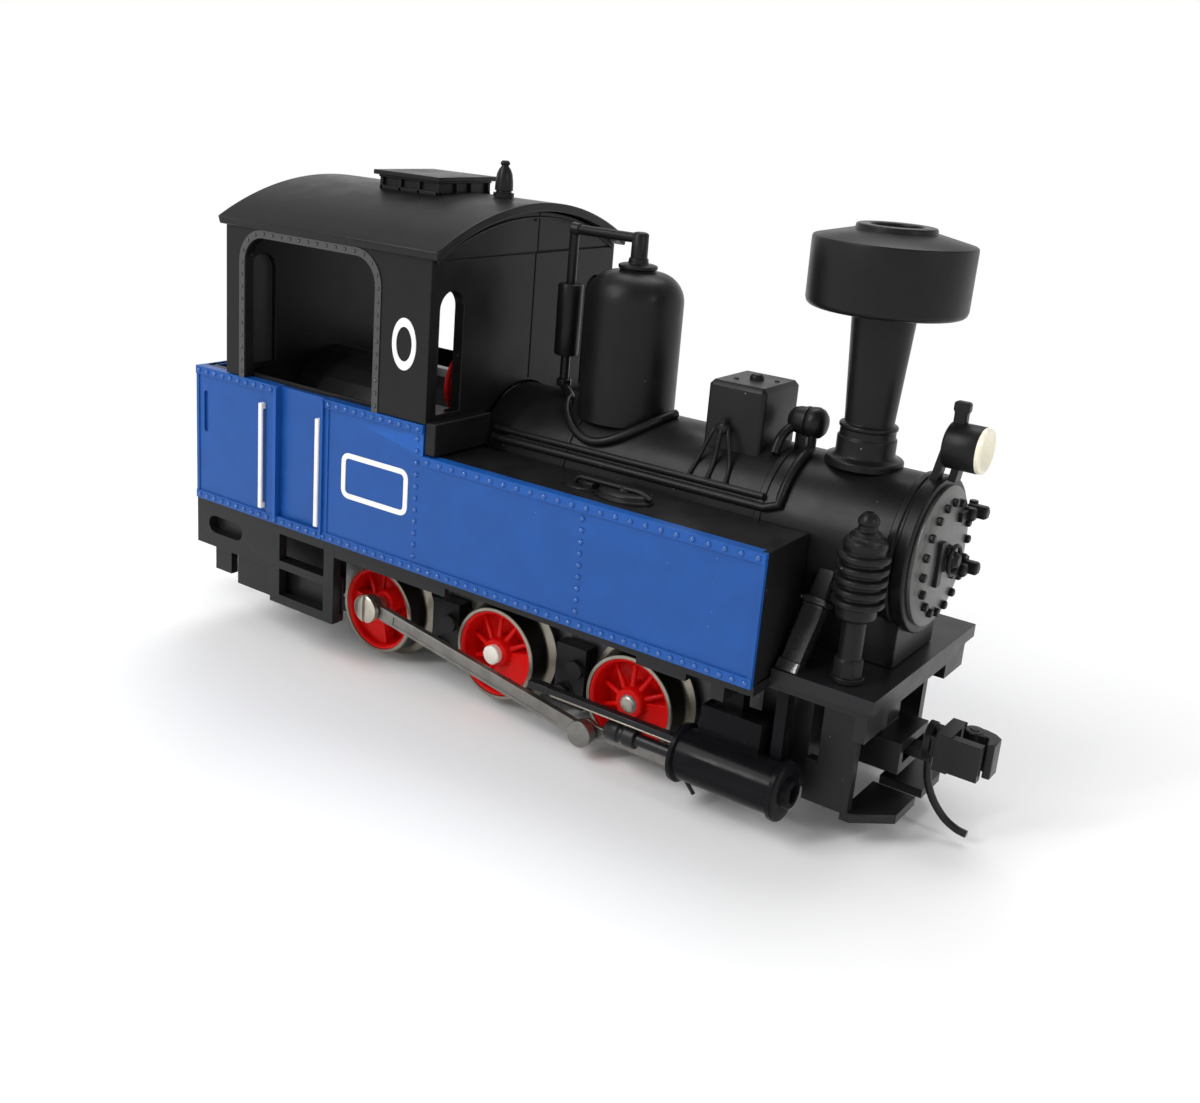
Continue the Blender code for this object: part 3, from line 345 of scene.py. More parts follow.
def metal(name, colour, roughness, slot, stretch=(1.0, 1.0, 1.0), tarnish=0.3, grain=GRAIN, tread_shade=1.0):
    """Worked metal: fine tool marks along one direction, patches of tarnish and uneven polish.

    Surfaces that face along X or Z are darker by the factor tread_shade, a painted shade for a wheel's tread,
    which faces the shadow under the model.
    """
    finish, tree, shader, coords = new_finish(name, slot)
    marks = add_node(tree, "VectorMath", {0: coords, 1: stretch}, operation="MULTIPLY").outputs["Vector"]
    fine = noise(tree, marks, 6.0, 3.0)
    cloud = noise(tree, coords, 0.8, 4.0)
    dull = shade([c * (1 - tarnish) for c in colour], 1.0)
    patchy = blend_colour(tree, spread(tree, cloud, 0.38, 0.66), dull, shade(colour, 1.0))
    marked = blend_colour(tree, spread(tree, fine, 0.2, 0.8, 0.0, 0.35), patchy, dull)
    # Painted shade: faces that don't face sideways, such as a tyre's tread, are darkened by tread_shade.
    if tread_shade < 1.0:
        normal = add_node(tree, "NewGeometry").outputs["True Normal"]
        sideways = add_node(tree, "SeparateXYZ", {0: normal}).outputs["Y"]
        sideways = spread(tree, maths(tree, "ABSOLUTE", sideways), 0.2, 0.6)
        marked = blend_colour(tree, sideways, shade(colour, tread_shade), marked)
    feed(tree, shader, {
        "Base Color": marked,
        "Roughness": spread(tree, fine, 0.25, 0.75, roughness - 0.07, roughness + 0.12),
        "Metallic": 1.0,
        "Normal": bumps(tree, fine, 0.4, grain),
    })
    return finish


BLACK = plastic("satin_black_plastic", (0.007, 0.007, 0.0075), 0.36, gloss=0.2, dust=0.5)
GLOSS_BLACK = plastic("glossy_black_plastic", (0.006, 0.006, 0.007), 0.20, gloss=0.07, dust=0.3)
CHASSIS_BLACK = plastic("chassis_black_plastic", (0.008, 0.0082, 0.009), 0.33, gloss=0.28, dust=0.2)
BLUE = plastic("royal_blue_plastic", (0.006, 0.07, 0.295), 0.36, "blue_plastic", 0.08, 0.35, 1.6, 0.3)
# The rivets' blue is a little lighter than the sheet's, a painted highlight; they are glossier too.
BLUE_RIVET = plastic("royal_blue_rivets", (0.008, 0.08, 0.32), 0.16, "blue_plastic", 0.05, 0.2, 1.3, 0.8)
RED = plastic("bright_red_plastic", (0.7, 0.006, 0.005), 0.3, "red_plastic", 0.1, 0.1, 1.1, 0.15)
# A black a little lighter than the satin black, a painted highlight, and glossier; for the cab beads and the
# steam pipes' lower part.
HIGHLIT_BLACK = plastic("black_painted_highlight", (0.012, 0.012, 0.012), 0.24, gloss=0.9, dust=0.2)
# The door plate's black is lightened to grey, a painted reflection of its glossy sheen.
DOOR_PAINTED_SHEEN = plastic("black_plastic_painted_sheen", (0.045, 0.045, 0.042), 0.36, gloss=1.0, dust=0.3)
SMOKED = plastic("smoked_window_plastic", (0.030, 0.031, 0.033), 0.45, dust=0.3, worn=1.2)
WHITE = plastic("white_paint", (0.78, 0.78, 0.76), 0.42, "lens", vary=0.05, dust=0.15, worn=1.05)
CREAM = plastic("cream_lens_plastic", (0.84, 0.80, 0.64), 0.18, "lens", vary=0.06, dust=0.1, worn=1.1)
# The tyre's tread gets painted shade through tread_shade.
NICKEL = metal("nickel_plate", (0.36, 0.33, 0.275), 0.36, "nickel", (0.5, 0.5, 0.5), tarnish=0.15, tread_shade=0.2)
POLISHED = metal("turned_steel_ends", (0.60, 0.56, 0.48), 0.36, "steel", tarnish=0.12)
AXLE_WHITE = plastic("bright_axle_cap", (0.97, 0.94, 0.84), 0.35, "steel", vary=0.04, dust=0.1, worn=1.02)
ROD_METAL = metal("rolled_dull_steel", (0.29, 0.28, 0.26), 0.45, "steel", (0.25, 1.0, 3.0), tarnish=0.25)
STEEL = metal("plain_steel", (0.50, 0.49, 0.47), 0.32, "steel", (0.3, 3.0, 3.0))
BRASS = metal("cut_brass", (0.70, 0.47, 0.19), 0.30, "brass", (2.0, 0.4, 2.0))
BRONZE = metal("bronze_strip", (0.56, 0.36, 0.19), 0.33, "bronze", (0.3, 2.0, 2.0))
ZINC = metal("cast_zinc", (0.27, 0.27, 0.28), 0.50, "die_cast_zinc", grain=0.012)

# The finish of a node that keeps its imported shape, by its slot
NODE_FINISHES = (CHASSIS_BLACK, BLUE, RED, CREAM, NICKEL, STEEL, BRASS, BRONZE, ZINC)
SLOT_FINISH = {SLOT_OF[finish.name]: finish for finish in NODE_FINISHES}

# Nodes with holes through their flat faces
PIERCED = ("keeper_plate", "pickup_strip", "running_plate")


# Pieces


def in_scene(name, data):
    obj = bpy.data.objects.new(name, data)
    bpy.context.scene.collection.objects.link(obj)
    return obj


def raw_object(name, shapes):
    points, faces = [], []
    for shape_points, shape_faces in shapes:
        start = len(points)
        points += [Vector(p) * MM for p in shape_points]
        faces += [tuple(start + i for i in face) for face in shape_faces]
    mesh = bpy.data.meshes.new(name)
    mesh.from_pydata(points, [], faces)
    work = bmesh.new()
    work.from_mesh(mesh)
    bmesh.ops.recalc_face_normals(work, faces=work.faces)
    work.to_mesh(mesh)
    work.free()
    return in_scene(name, mesh)


def carve(obj, shapes, operation="DIFFERENCE"):
    """Cuts shapes out of an object, or joins them to it."""
    for shape in shapes:
        tool = raw_object("tool", [shape])
        change = obj.modifiers.new("shape", "BOOLEAN")
        change.operation, change.object, change.solver = operation, tool, "EXACT"
        finished = obj.evaluated_get(bpy.context.evaluated_depsgraph_get())
        mesh = bpy.data.meshes.new_from_object(finished)
        obj.modifiers.clear()
        obj.data = mesh
        mesh.name = obj.name
        bpy.data.objects.remove(tool)


def soften(obj, bevel, smooth=35, steps=2, join_flat=True):
    """Clean faces and rounded edges, without a change to the mesh itself.

    Flat neighbours are joined into one face, except where such a face would close a hole.
    """
    weld = obj.modifiers.new("weld", "WELD")
    weld.merge_threshold = 2e-6
    if join_flat:
        flat = obj.modifiers.new("flat_faces", "DECIMATE")
        flat.decimate_type = "DISSOLVE"
        flat.angle_limit = radians(0.4)
        flat.delimit = {"MATERIAL"}
    if bevel:
        edge = obj.modifiers.new("edges", "BEVEL")
        edge.width = bevel * MM
        edge.segments = steps
        edge.limit_method = "ANGLE"
        edge.angle_limit = radians(smooth)
        edge.miter_outer = "MITER_ARC"
    return obj


def piece(name, shapes, finish=BLACK, body="locomotive", nodes=(), bevel=0.06, cuts=(), smooth=35, steps=2):
    """One visible piece: its mesh, finish, body and the nodes that it stands for."""
    if cuts:
        obj = raw_object(name, shapes[:1])
        carve(obj, shapes[1:], "UNION")
        carve(obj, cuts)
    else:
        obj = raw_object(name, shapes)
    mesh = obj.data
    mesh.materials.clear()
    mesh.materials.append(finish)
    mesh.shade_smooth()
    mesh.set_sharp_from_angle(angle=radians(smooth))
    if bevel is not None:
        soften(obj, bevel, smooth, steps)
    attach(obj, body)
    if nodes:
        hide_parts(*nodes)
    return obj


# Tanks, bunker and cab


def tank_sheet(side):
    """The blue side sheet with its riveted edge strips, door recess, ribs and slot."""
    sheet, proud, rib = SHEET_Y, (SHEET_Y[1] - 0.1, FLANGE_Y), (11.1, 11.29)
    (bottom, top), (rear, front) = TANK_Z, TANK_X
    (door_rear, door_front), strip, end = DOOR_X, 0.68, TANK_X[1] - 0.45
    forward = [(door_front, bottom), (end, bottom), (end, top), (STEP_X, top)]
    forward += [(STEP_X, CAB_TOP), (door_front, CAB_TOP)]
    shapes = [box(x, across(side, *y), z) for x, y, z in (
        ((rear, door_rear), sheet, (bottom, CAB_TOP)),
        ((door_rear - 0.02, door_front + 0.02), (sheet[0], sheet[1] - 0.28), (bottom, CAB_TOP - 0.05)),
        ((rear, front), proud, (bottom, bottom + strip)),
        ((rear, door_rear), proud, (CAB_TOP - strip, CAB_TOP)),
        ((door_front, STEP_X), proud, (CAB_TOP - strip, CAB_TOP)),
        ((STEP_X - 0.02, front), proud, (top - strip, top)),
        ((end - 0.02, front), (10.98, 11.2), (bottom, top)),
        ((front - 0.3, front), rib, (bottom + 0.4, top - 0.4)),
        ((rear, rear + 0.3), rib, (bottom + 0.4, CAB_TOP - 0.4)),
        ((door_rear - 1.3, door_rear), rib, (bottom + 0.6, CAB_TOP - 0.6)),
        ((door_rear - 0.3, door_rear), (10.9, 11.52), (bottom + 0.1, CAB_TOP - 0.1)),
        ((door_front, door_front + 0.7), rib, (bottom + 0.6, CAB_TOP - 0.6)),
        ((door_front, door_front + 0.26), (10.9, 11.5), (bottom + 0.1, CAB_TOP - 0.1)),
    )]
    shapes.insert(2, prism("y", across(side, *sheet), forward))
    slot_x, slot_z, slot_r = -28.6, (17.4, 20.4), 0.24
    slot = arc((slot_x, slot_z[1]), slot_r, 0, 180, 8) + arc((slot_x, slot_z[0]), slot_r, 180, 360, 8)
    cuts = [prism("y", across(side, 11.0, 12.0), slot)]
    piece("tank_sheet_" + side, shapes, BLUE, nodes=["side_tank_" + side], cuts=cuts, bevel=0.05)


def tank_rivets(side):
    face, strip = SIDES[side] * FLANGE_Y, SIDES[side] * SHEET_Y[1]
    (rear, front), inset, fine, wide = TANK_X, 0.34, 0.92, 1.16
    bottom, top, high = TANK_Z[0] + inset, TANK_Z[1] - inset, CAB_TOP - inset
    heads = []
    for x, y, z, pitch in (
        ((rear + 0.45, front - 0.4), face, (bottom, bottom), fine),
        ((rear + 0.45, DOOR_X[0] - 0.75), face, (high, high), fine),
        ((DOOR_X[1] + 0.75, STEP_X - 0.4), face, (high, high), fine),
        ((STEP_X + 0.6, front - 0.5), face, (top, top), wide),
        ((STEP_X - 0.55, STEP_X - 0.55), strip, (bottom + 0.85, high - 0.8), 0.88),
        ((9.55, 9.55), strip, (bottom + 0.85, top - 0.8), 0.88),
    ):
        heads += row((x[0], y, z[0]), (x[1], y, z[1]), pitch, (0, SIDES[side], 0), radius=0.2, height=0.18)
    piece("tank_rivets_" + side, heads, BLUE_RIVET, bevel=None, smooth=60)


def handrails(side):
    """The two flat white grab rails beside the door."""
    shapes, (low, high), half, foot = [], (12.3, 21.0), 0.2, 0.5
    for x in HANDRAIL_X:
        shapes.append(box((x - half, x + half), across(side, 11.42, 11.64), (low, high)))
        for z in (low, high - foot):
            shapes.append(box((x - half, x + half), across(side, 11.1, 11.5), (z, z + foot)))
    piece("handrails_" + side, shapes, WHITE, bevel=0.07)


def nameplate(side):
    """A blank plate with a painted white border, where a name would be."""
    y = across(side, SHEET_Y[1] - 0.05, SHEET_Y[1] + 0.05)
    x, z, corner, line = (-12.9, -6.1), (15.3, 18.9), 0.75, 0.42
    border = band(y, rounded(x, z, corner), rounded(x, z, corner, line))
    piece("blank_nameplate_" + side, [border], WHITE, bevel=None)


def number_ring(side):
    """A plain white oval ring, where a number would be."""
    y = across(side, CAB_HALF - 0.03, CAB_HALF + 0.06)
    profile = [(y[0], 1.0), (y[1], 1.0), (y[1], 0.66), (y[0], 0.66)]
    points, faces = hoop("y", (0, 0), profile, 40)
    points = [(x * 1.15 - 6.95, along, z * 1.9 + 28.15) for x, along, z in points]
    piece("blank_number_ring_" + side, [(points, faces)], WHITE, bevel=None)


def tank_top(side):
    """The black top and front of the tank, with its filler lid."""
    (bottom, top), front, inner = TANK_Z, TANK_X[1], 5.25
    shapes = [
        box((CAB_X[1] + 0.1, front - 0.6), across(side, inner, 10.5), (19.4, top - 0.06)),
        box((front - 0.95, front - 0.1), across(side, inner, 10.6), (bottom + 0.05, top - 0.04)),
        box((front - 0.44, front - 0.02), across(side, 10.3, 11.0), (bottom + 0.01, top - 0.01)),
    ]
    x, y, top, oval = 9.9, SIDES[side] * 8.3, top - 0.06, (1.0, 0.62)
    lid = [(-0.1, 2.25), (0.22, 2.25), (0.22, 1.95), (0.48, 1.9), (0.58, 1.6)]
    shapes.append(turned("z", (x + 0.9, y), lid, 40, start=top, squash=oval))
    shapes.append(turned("z", (x - 2.6, y), [(-0.1, 1.5), (0.2, 1.45)], 32, start=top, squash=oval))
    lever = [(x + dx, y, top + dz) for dx, dz in ((-3.2, 0.1), (-3.0, 0.72), (2.2, 0.72), (3.1, 0.35))]
    shapes.append(tube(elbows(lever, 0.4), 0.17))
    shapes.append(box((x - 2.2, x - 1.4), (y - 0.55, y + 0.55), (top, top + 0.6)))
    shapes.append(dome((x + 0.9, y, top + 0.55), (0, 0, 1), 0.4, 0.3, 16))
    piece("tank_top_" + side, shapes, nodes=["side_tank_" + side], bevel=0.07)


def bunker():
    rear, front, half, strip = TANK_X[0], CAB_X[0] - 0.1, 10.42, 0.68
    sheet = [box((rear + near, rear + far), (-half, half), z) for near, far, z in (
        (0.15, 0.9, (TANK_Z[0], CAB_TOP)),
        (0, 0.3, (TANK_Z[0], TANK_Z[0] + strip)),
        (0, 0.3, (CAB_TOP - strip, CAB_TOP)),
    )]
    piece("bunker_rear_sheet", sheet, BLUE, nodes=["bunker"])
    heads = []
    for z in (TANK_Z[0] + strip / 2, CAB_TOP - strip / 2):
        heads += row((rear, -half + 0.5, z), (rear, half - 0.5, z), 0.92, (-1, 0, 0))
    for y in (-3.6, 3.6):
        heads += row((rear + 0.15, y, TANK_Z[0] + 1.2), (rear + 0.15, y, CAB_TOP - 1.2), 0.9, (-1, 0, 0))
    piece("bunker_rivets", heads, BLUE_RIVET, bevel=None, smooth=60)
    low, edge = 21.6, rear + 0.35
    top = [
        box((rear + 0.8, front), (-half, half), (low, CAB_TOP - 0.22)),
        box((edge, front), (-half, -half + 0.5), (low, CAB_TOP)),
        box((edge, front), (half - 0.5, half), (low, CAB_TOP)),
        box((edge, edge + 0.5), (-half, half), (low, CAB_TOP)),
    ]
    piece("bunker_top", top, nodes=["bunker"])


def roof_curve(radius, half, steps=40):
    spread_deg = degrees(asin(half / radius))
    return arc((0, CROWN_Z - ROOF_R), radius, 90 - spread_deg, 90 + spread_deg, steps)


def opening_outline(grow=0.0):
    """The side opening's outline in x and z, with round upper corners."""
    rear, front, top, corner = OPENING_X[0] - grow, OPENING_X[1] + grow, OPENING_TOP + grow, 2.0 + grow
    corners = arc((front - corner, top - corner), corner, 0, 90, 10)
    corners += arc((rear + corner, top - corner), corner, 90, 180, 10)
    return [(rear, CAB_TOP), (front, CAB_TOP)] + corners


def arched(low, high, sill, top):
    middle, radius = (low + high) / 2, (high - low) / 2
    return [(low, sill), (high, sill)] + arc((middle, top - radius), radius, 0, 180, 16)


def cab_walls():
    """The cab's walls with their openings and seams."""
    inside, wall, low = ROOF_R - ROOF_T - 0.1, 0.9, TANK_Z[1] + 0.1
    rear, front = CAB_X
    outline = [(-CAB_HALF, CAB_TOP + 0.05), (CAB_HALF, CAB_TOP + 0.05)] + roof_curve(inside, CAB_HALF)
    inner = CAB_HALF - wall
    room = [(-inner, 15), (inner, 15)] + roof_curve(inside - wall, inner)
    cuts = [prism("x", (rear + wall, front - wall), room), prism("y", (-13, 13), opening_outline())]
    for side in SIDES:
        cuts.append(prism("x", (-6.5, -3), arched(*across(side, 7.55, 10.15), 23.2, 32.1)))
        cuts.append(prism("x", (-27, -24.5), arched(*across(side, 6.9, 9.6), 23.2, 32.1)))
    cuts.append(turned("x", (0, BOILER_Z), [(-7, BOILER_R + 0.1), (-3, BOILER_R + 0.1)], 64))
    for y, z in (((0.55, 0.67), (24.6, 34.3)), ((-10.8, 10.8), (34.3, 34.42)), ((0.74, 0.84), (34.4, 37.6))):
        cuts.append(box((front - 0.12, front + 0.1), y, z))
    piece("cab_walls", [prism("x", CAB_X, outline)], nodes=["cab"], cuts=cuts)
    half, top = 10.35, CAB_TOP + 0.1
    lower = [
        box((front - wall, front), (-half, -5.25), (low, top)),
        box((front - wall, front), (5.25, half), (low, top)),
        box((rear, rear + wall), (-half, half), (18.3, top)),
    ]
    for side in SIDES:
        lower.append(box((rear + 0.5, front - 0.5), across(side, 10.2, 10.44), (18.3, CAB_TOP + 0.32)))
        lower.append(box((front - 0.05, -3.75), across(side, 4.9, 11.15), (low, 22.8)))
        lower.append(box((front - 0.05, -3.72), across(side, 4.9, 11.17), (22.45, 22.82)))
    piece("cab_lower_walls", lower, nodes=["cab"], bevel=0.08)


def rear_windows():
    """The dim panes in the cab's rear windows."""
    panes = [box((-25.75, -25.6), across(side, 6.8, 9.7), (23.0, 32.2)) for side in SIDES]
    piece("rear_window_panes", panes, SMOKED, bevel=None)


def cab_beads(side):
    """The riveted band around the cab's side opening."""
    y = across(side, CAB_HALF - 0.05, CAB_HALF + 0.07)
    inner, outer = opening_outline(0.02), opening_outline(0.62)
    shapes = [band(y, outer, inner, is_open=True)]
    path = [Vector((x, SIDES[side] * (CAB_HALF + 0.06), z)) for x, z in opening_outline(0.33)]
    path = path[1:] + path[:1]
    length = [0.0]
    for a, b in zip(path, path[1:]):
        length.append(length[-1] + (b - a).length)
    count = round(length[-1] / 0.95)
    for k in range(count):
        target = (k + 0.5) * length[-1] / count
        i = max(n for n in range(len(length) - 1) if length[n] <= target)
        share = (target - length[i]) / (length[i + 1] - length[i])
        shapes.append(dome(path[i].lerp(path[i + 1], share), (0, SIDES[side], 0), 0.15, 0.11))
    # The band and its rivets take the lighter black of painted highlight.
    piece("cab_opening_bead_" + side, shapes, HIGHLIT_BLACK, bevel=None, smooth=50)


def roof():
    outer, inner = roof_curve(ROOF_R, ROOF_HALF), roof_curve(ROOF_R - ROOF_T, ROOF_HALF - 0.2)
    piece("roof_sheet", [prism("x", ROOF_X, outer + inner[::-1])], nodes=["cab_roof"], bevel=0.12, smooth=30)
    front_seam = [(-4.6, y, z) for y, z in roof_curve(ROOF_R - ROOF_T - 0.5, 10.9, 30)]
    seam = [tube(front_seam, 0.1, 8), dome((CAB_X[1], 0.35, 36.9), (1, 0, 0), 0.22, 0.16)]
    piece("cab_front_beading", seam, bevel=None, smooth=60)


def roof_ventilator():
    """A thin lid on posts over a dark curb."""
    (lid_rear, lid_front), lid_half, rim = (-17.97, -11.13), 3.47, 0.3
    (rear, front), half, post, foot, top = (-17.6, -11.5), 3.1, 0.3, 37.9, 38.9
    shapes = [
        box((lid_rear, lid_front), (-lid_half, lid_half), (38.98, 39.33)),
        box((lid_rear + rim, lid_front - rim), (rim - lid_half, lid_half - rim), (38.8, 39.0)),
        box((rear + 0.25, front - 0.25), (0.25 - half, half - 0.25), (foot, top)),
    ]
    for y in (-half, half - post):
        for k in range(4):
            x = rear + (front - post - rear) * k / 3
            shapes.append(box((x, x + post), (y, y + post), (foot, top)))
        shapes.append(box((rear, front), (y, y + post), (foot, foot + 0.3)))
    for x in (rear, front - post):
        for y in (-1.0, 0.7):
            shapes.append(box((x, x + post), (y, y + post), (foot + 0.15, top)))
    piece("ventilator_lid_and_posts", shapes, nodes=["roof_ventilator"], bevel=0.05)


def whistle():
    profile = [(0, 0.8), (0.3, 0.8), (0.36, 0.6), (0.45, 0.58), (0.5, 0.7), (1.1, 0.68), (1.7, 0.6)]
    profile += [(2.05, 0.46), (2.25, 0.3), (2.35, 0.28), (2.42, 0.36), (2.55, 0.37), (2.7, 0.24)]
    shape = turned("z", (-7.65, 0), profile, 32, start=CROWN_Z + 0.05)
    piece("whistle_body", [shape], nodes=["whistle"], bevel=None, smooth=50)


def handwheel():
    x, y, z = HANDWHEEL
    rim = [(0.2 * c, 2.54 + 0.2 * s) for c, s in circle(10)]
    inner_rim = [(0.16 * c, 2.02 + 0.3 * s) for c, s in circle(10)]
    shapes = [hoop("x", (y, z), ring, 56, start=x) for ring in (rim, inner_rim)]
    shapes.append(turned("x", (y, z), [(-0.4, 0.42), (0.2, 0.55), (0.35, 0.35)], 24, start=x))
    for k in range(5):
        angle, reach = tau * k / 5 + 0.3, 2.5
        end = (x, y + reach * cos(angle), z + reach * sin(angle))
        shapes.append(tube([(x, y, z), end], [0.24, 0.16], 10))
    piece("brake_handwheel", shapes, RED, nodes=["handwheel"], bevel=None, smooth=60)


# Boiler and its fittings


def on_boiler(x, y, lift=0.0):
    """A point on top of the boiler, lifted outwards."""
    return (x, y, BOILER_Z + sqrt(max((BOILER_R + lift) ** 2 - y**2, 0.0)))


def around_boiler(x, angle_deg, lift=0.0):
    """A point around the boiler, with the angle up from the right side."""
    a, radius = radians(angle_deg), BOILER_R + lift
    return (x, -radius * cos(a), BOILER_Z + radius * sin(a))


def boiler():
    rear, front = BOILER_X
    barrel = [(rear, BOILER_R), (22.6, BOILER_R), (28.3, BOILER_R), (28.3, 5.3), (28.75, 5.3), (28.75, 5.16)]
    barrel += [(29.0, 5.16), (29.0, 5.3), (front - 0.1, 5.3), (front, 5.2), (front, 4.8)]
    shapes = [turned("x", (0, BOILER_Z), barrel, 96)]
    low, high = BOILER_R - 0.1, BOILER_R + 0.1
    for x, width in ((3.0, 0.35), (18.95, 0.5)):
        strap = [(0, low), (0, high), (width, high), (width, low)]
        shapes.append(hoop("x", (0, BOILER_Z), strap, 96, start=x))
    foot = DECK_Z + 0.05
    saddle = [(-3.4, foot), (3.4, foot), (3.4, 14.6), (2.6, 16.5), (-2.6, 16.5), (-3.4, 14.6)]
    shapes.append(prism("x", (23.7, 29.3), saddle))
    shapes.append(box((22.35, 23.25), (-5.1, 5.1), (11.4, 15.0)))
    piece("boiler_barrel", shapes, nodes=["boiler"], smooth=25)


def steam_pipes():
    """The two square pipes that slant from the deck to the smokebox."""
    shapes, dark_heads = [], []
    for sign in SIDES.values():
        foot, head = Vector((24.25, sign * 8.0, DECK_Z - 0.4)), Vector((24.65, sign * 4.3, 18.2))
        # Painted highlight and shade: the lower two thirds take the lighter black, the heads the plain black
        # so that they stay dark.
        shapes.append(bar(foot, foot.lerp(head, 0.66), 1.4, 1.2))
        dark_heads.append(bar(foot.lerp(head, 0.65), head, 1.2, 1.05))
        for low, high, width in ((0.0, 0.11, 1.6), (0.60, 0.63, 1.5), (0.63, 0.69, 1.65)):
            shapes.append(bar(foot.lerp(head, low), foot.lerp(head, high), width, width - 0.1))
    piece("steam_pipes", shapes, HIGHLIT_BLACK, bevel=0.12, steps=3)
    piece("steam_pipe_heads", dark_heads, bevel=0.1)


def boiler_pipes():
    """The long pipes beside the boiler, the dome's exhaust pipe and the sand pipes."""
    rear, front, thick, thin = -3.3, 20.6, 0.3, 0.24
    feed = [around_boiler(rear, 20, thick), around_boiler(front - 0.9, 20, thick)]
    feed += [around_boiler(front, turn, thick) for turn in range(24, 81, 7)] + [(front - 0.3, -0.3, 25.5)]
    shapes = [
        tube(feed, thick, 12),
        tube([around_boiler(rear, 27.5, thin), around_boiler(front - 1.2, 27.5, thin)], thin, 12),
        tube([around_boiler(rear, 160, thick), around_boiler(front, 160, thick)], thick, 12),
    ]
    sweep, reach = [(-0.75, 0.0, 25.6), (-0.7, -0.1, 24.9)], 4.35
    for k in range(1, 19):
        a = radians(188 + k * 9.5)
        sweep.append(on_boiler(DOME_X + reach * cos(a), reach * sin(a), 0.26))
    shapes.append(tube(eased(sweep, 4), 0.32, 12))
    x = 14.9
    for dx, bend in ((-0.7, -0.5), (0.0, 0.0), (0.7, 0.5)):
        path = [(x + dx * 0.4, -2.3, 25.2), (x + dx * 0.8, -3.2, 25.0), around_boiler(x + dx + bend, 45, 0.2)]
        path.append(around_boiler(x + dx + bend * 1.6, 26, 0.2))
        shapes.append(tube(eased(path, 6), 0.15, 10))
    shapes.append(turned("y", (x, 25.15), [(-3.3, 0.3), (-3.2, 0.42), (-2.6, 0.42), (-2.2, 0.5)], 20))
    shapes.append(tube([(x, -3.0, 25.3), (x, -3.0, 25.9)], [0.22, 0.16], 12))
    piece("boiler_pipes", shapes, bevel=None, smooth=60)


def generator():
    """The turbine generator on its foot, with its feed pipe."""
    x, crown = 18.35, BOILER_Z + BOILER_R
    z = crown + 1.8
    profile = [(0, 0.3), (0.08, 0.55), (0.3, 0.82), (0.7, 0.94), (1.2, 0.98), (1.25, 1.04), (1.4, 1.04)]
    profile += [(1.45, 0.96), (1.6, 1.06), (2.0, 1.1), (2.35, 0.98), (2.6, 0.72), (2.72, 0.3)]
    feed = [(18.9, -0.5, z - 0.4), (18.7, -1.2, z - 0.75), (18.6, -1.8, z - 1.3), (18.55, -2.2, z - 2.1)]
    shapes = [
        turned("x", (0, z), profile, 40, start=x),
        box((19.1, 19.9), (-0.45, 0.45), (crown - 0.3, z - 0.5)),
        tube(eased(feed, 6), 0.34, 14),
    ]
    piece("steam_generator", shapes, bevel=None, smooth=45)


def chimney():
    """The stack with its flange, its stepped collar and its wide spark arrester."""
    foot = BOILER_Z + BOILER_R + 0.1
    flange = [(-0.35, 2.58), (0.12, 2.6), (0.22, 2.5), (0.27, 2.2), (0.4, 2.02), (0.6, 1.96)]
    stack = [(foot + rise, radius) for rise, radius in flange]
    stack += [(26.02, 1.96), (26.1, 1.84), (26.6, 1.83), (26.66, 1.93), (26.86, 1.93), (26.92, 1.83)]
    stack.append((26.96, 1.62))
    cap = [(34.4, 2.1), (34.4, 4.78), (34.46, 4.93), (34.6, 5.08), (34.85, 5.16), (38.62, 5.2), (38.8, 5.17)]
    mouth = [(38.86, 5.06), (39.42, 2.75), (39.42, 2.6), (39.72, 2.55), (39.78, 2.45), (39.78, 1.75)]
    mouth += [(39.7, 1.65), (37.0, 1.5)]
    shape = turned("z", (CHIMNEY_X, 0), stack + cap + mouth, 72)
    piece("chimney_stack", [shape], nodes=["chimney"], bevel=0.05, smooth=30)


def steam_dome():
    foot, shoulder, radius, corner = BOILER_Z + BOILER_R, 32.2, 3.55, 2.1
    profile = [(foot - 0.9, 3.62), (foot + 0.1, 3.58), (shoulder, radius)]
    profile += [(shoulder + rise, reach) for reach, rise in arc((radius - corner, 0), corner, 9, 82, 9)]
    profile += [(34.33, 1.3), (34.4, 1.25), (34.5, 1.42), (34.72, 1.42), (34.8, 1.2), (34.85, 0.75)]
    profile += [(35.2, 0.7), (35.28, 0.55)]
    shape = turned("z", (DOME_X, 0), profile, 72)
    piece("dome_casing", [shape], nodes=["steam_dome"], bevel=0.04)


def dome_pipe():
    drop_x, top = -0.75, 36.6
    corners = ((DOME_X, 35.2), (DOME_X, top), (drop_x, top), (drop_x, 25.2))
    can = [(27.15, 0.5), (27.2, 0.84), (27.32, 0.92), (32.45, 0.95), (32.58, 0.87), (32.63, 0.45)]
    shapes = [
        tube(elbows([(x, 0, z) for x, z in corners], 0.55), 0.36, 16),
        turned("z", (DOME_X, 0), [(35.0, 0.62), (36.9, 0.6), (37.0, 0.52), (37.06, 0.35)], 28),
        turned("x", (0, top), [(-0.2, 0.45), (-0.12, 0.52), (0.5, 0.45)], 20, start=drop_x),
        turned("z", (drop_x, 0), can, 32),
        turned("z", (drop_x, 0), [(24.75, 0.42), (24.85, 0.62), (25.3, 0.62), (25.4, 0.42)], 6),
    ]
    piece("dome_pipe_and_silencer", shapes, nodes=["dome_pipe"], bevel=0.04, smooth=40)


def rounded_block(x, y, corner, levels):
    """A block with round upright corners, whose levels hold (height, inset from its full size)."""
    outlines = [(z, rounded(x, y, corner, inset, 5)) for z, inset in levels]
    return capped([(u, v, z) for z, outline in outlines for u, v in outline], len(outlines[0][1]))


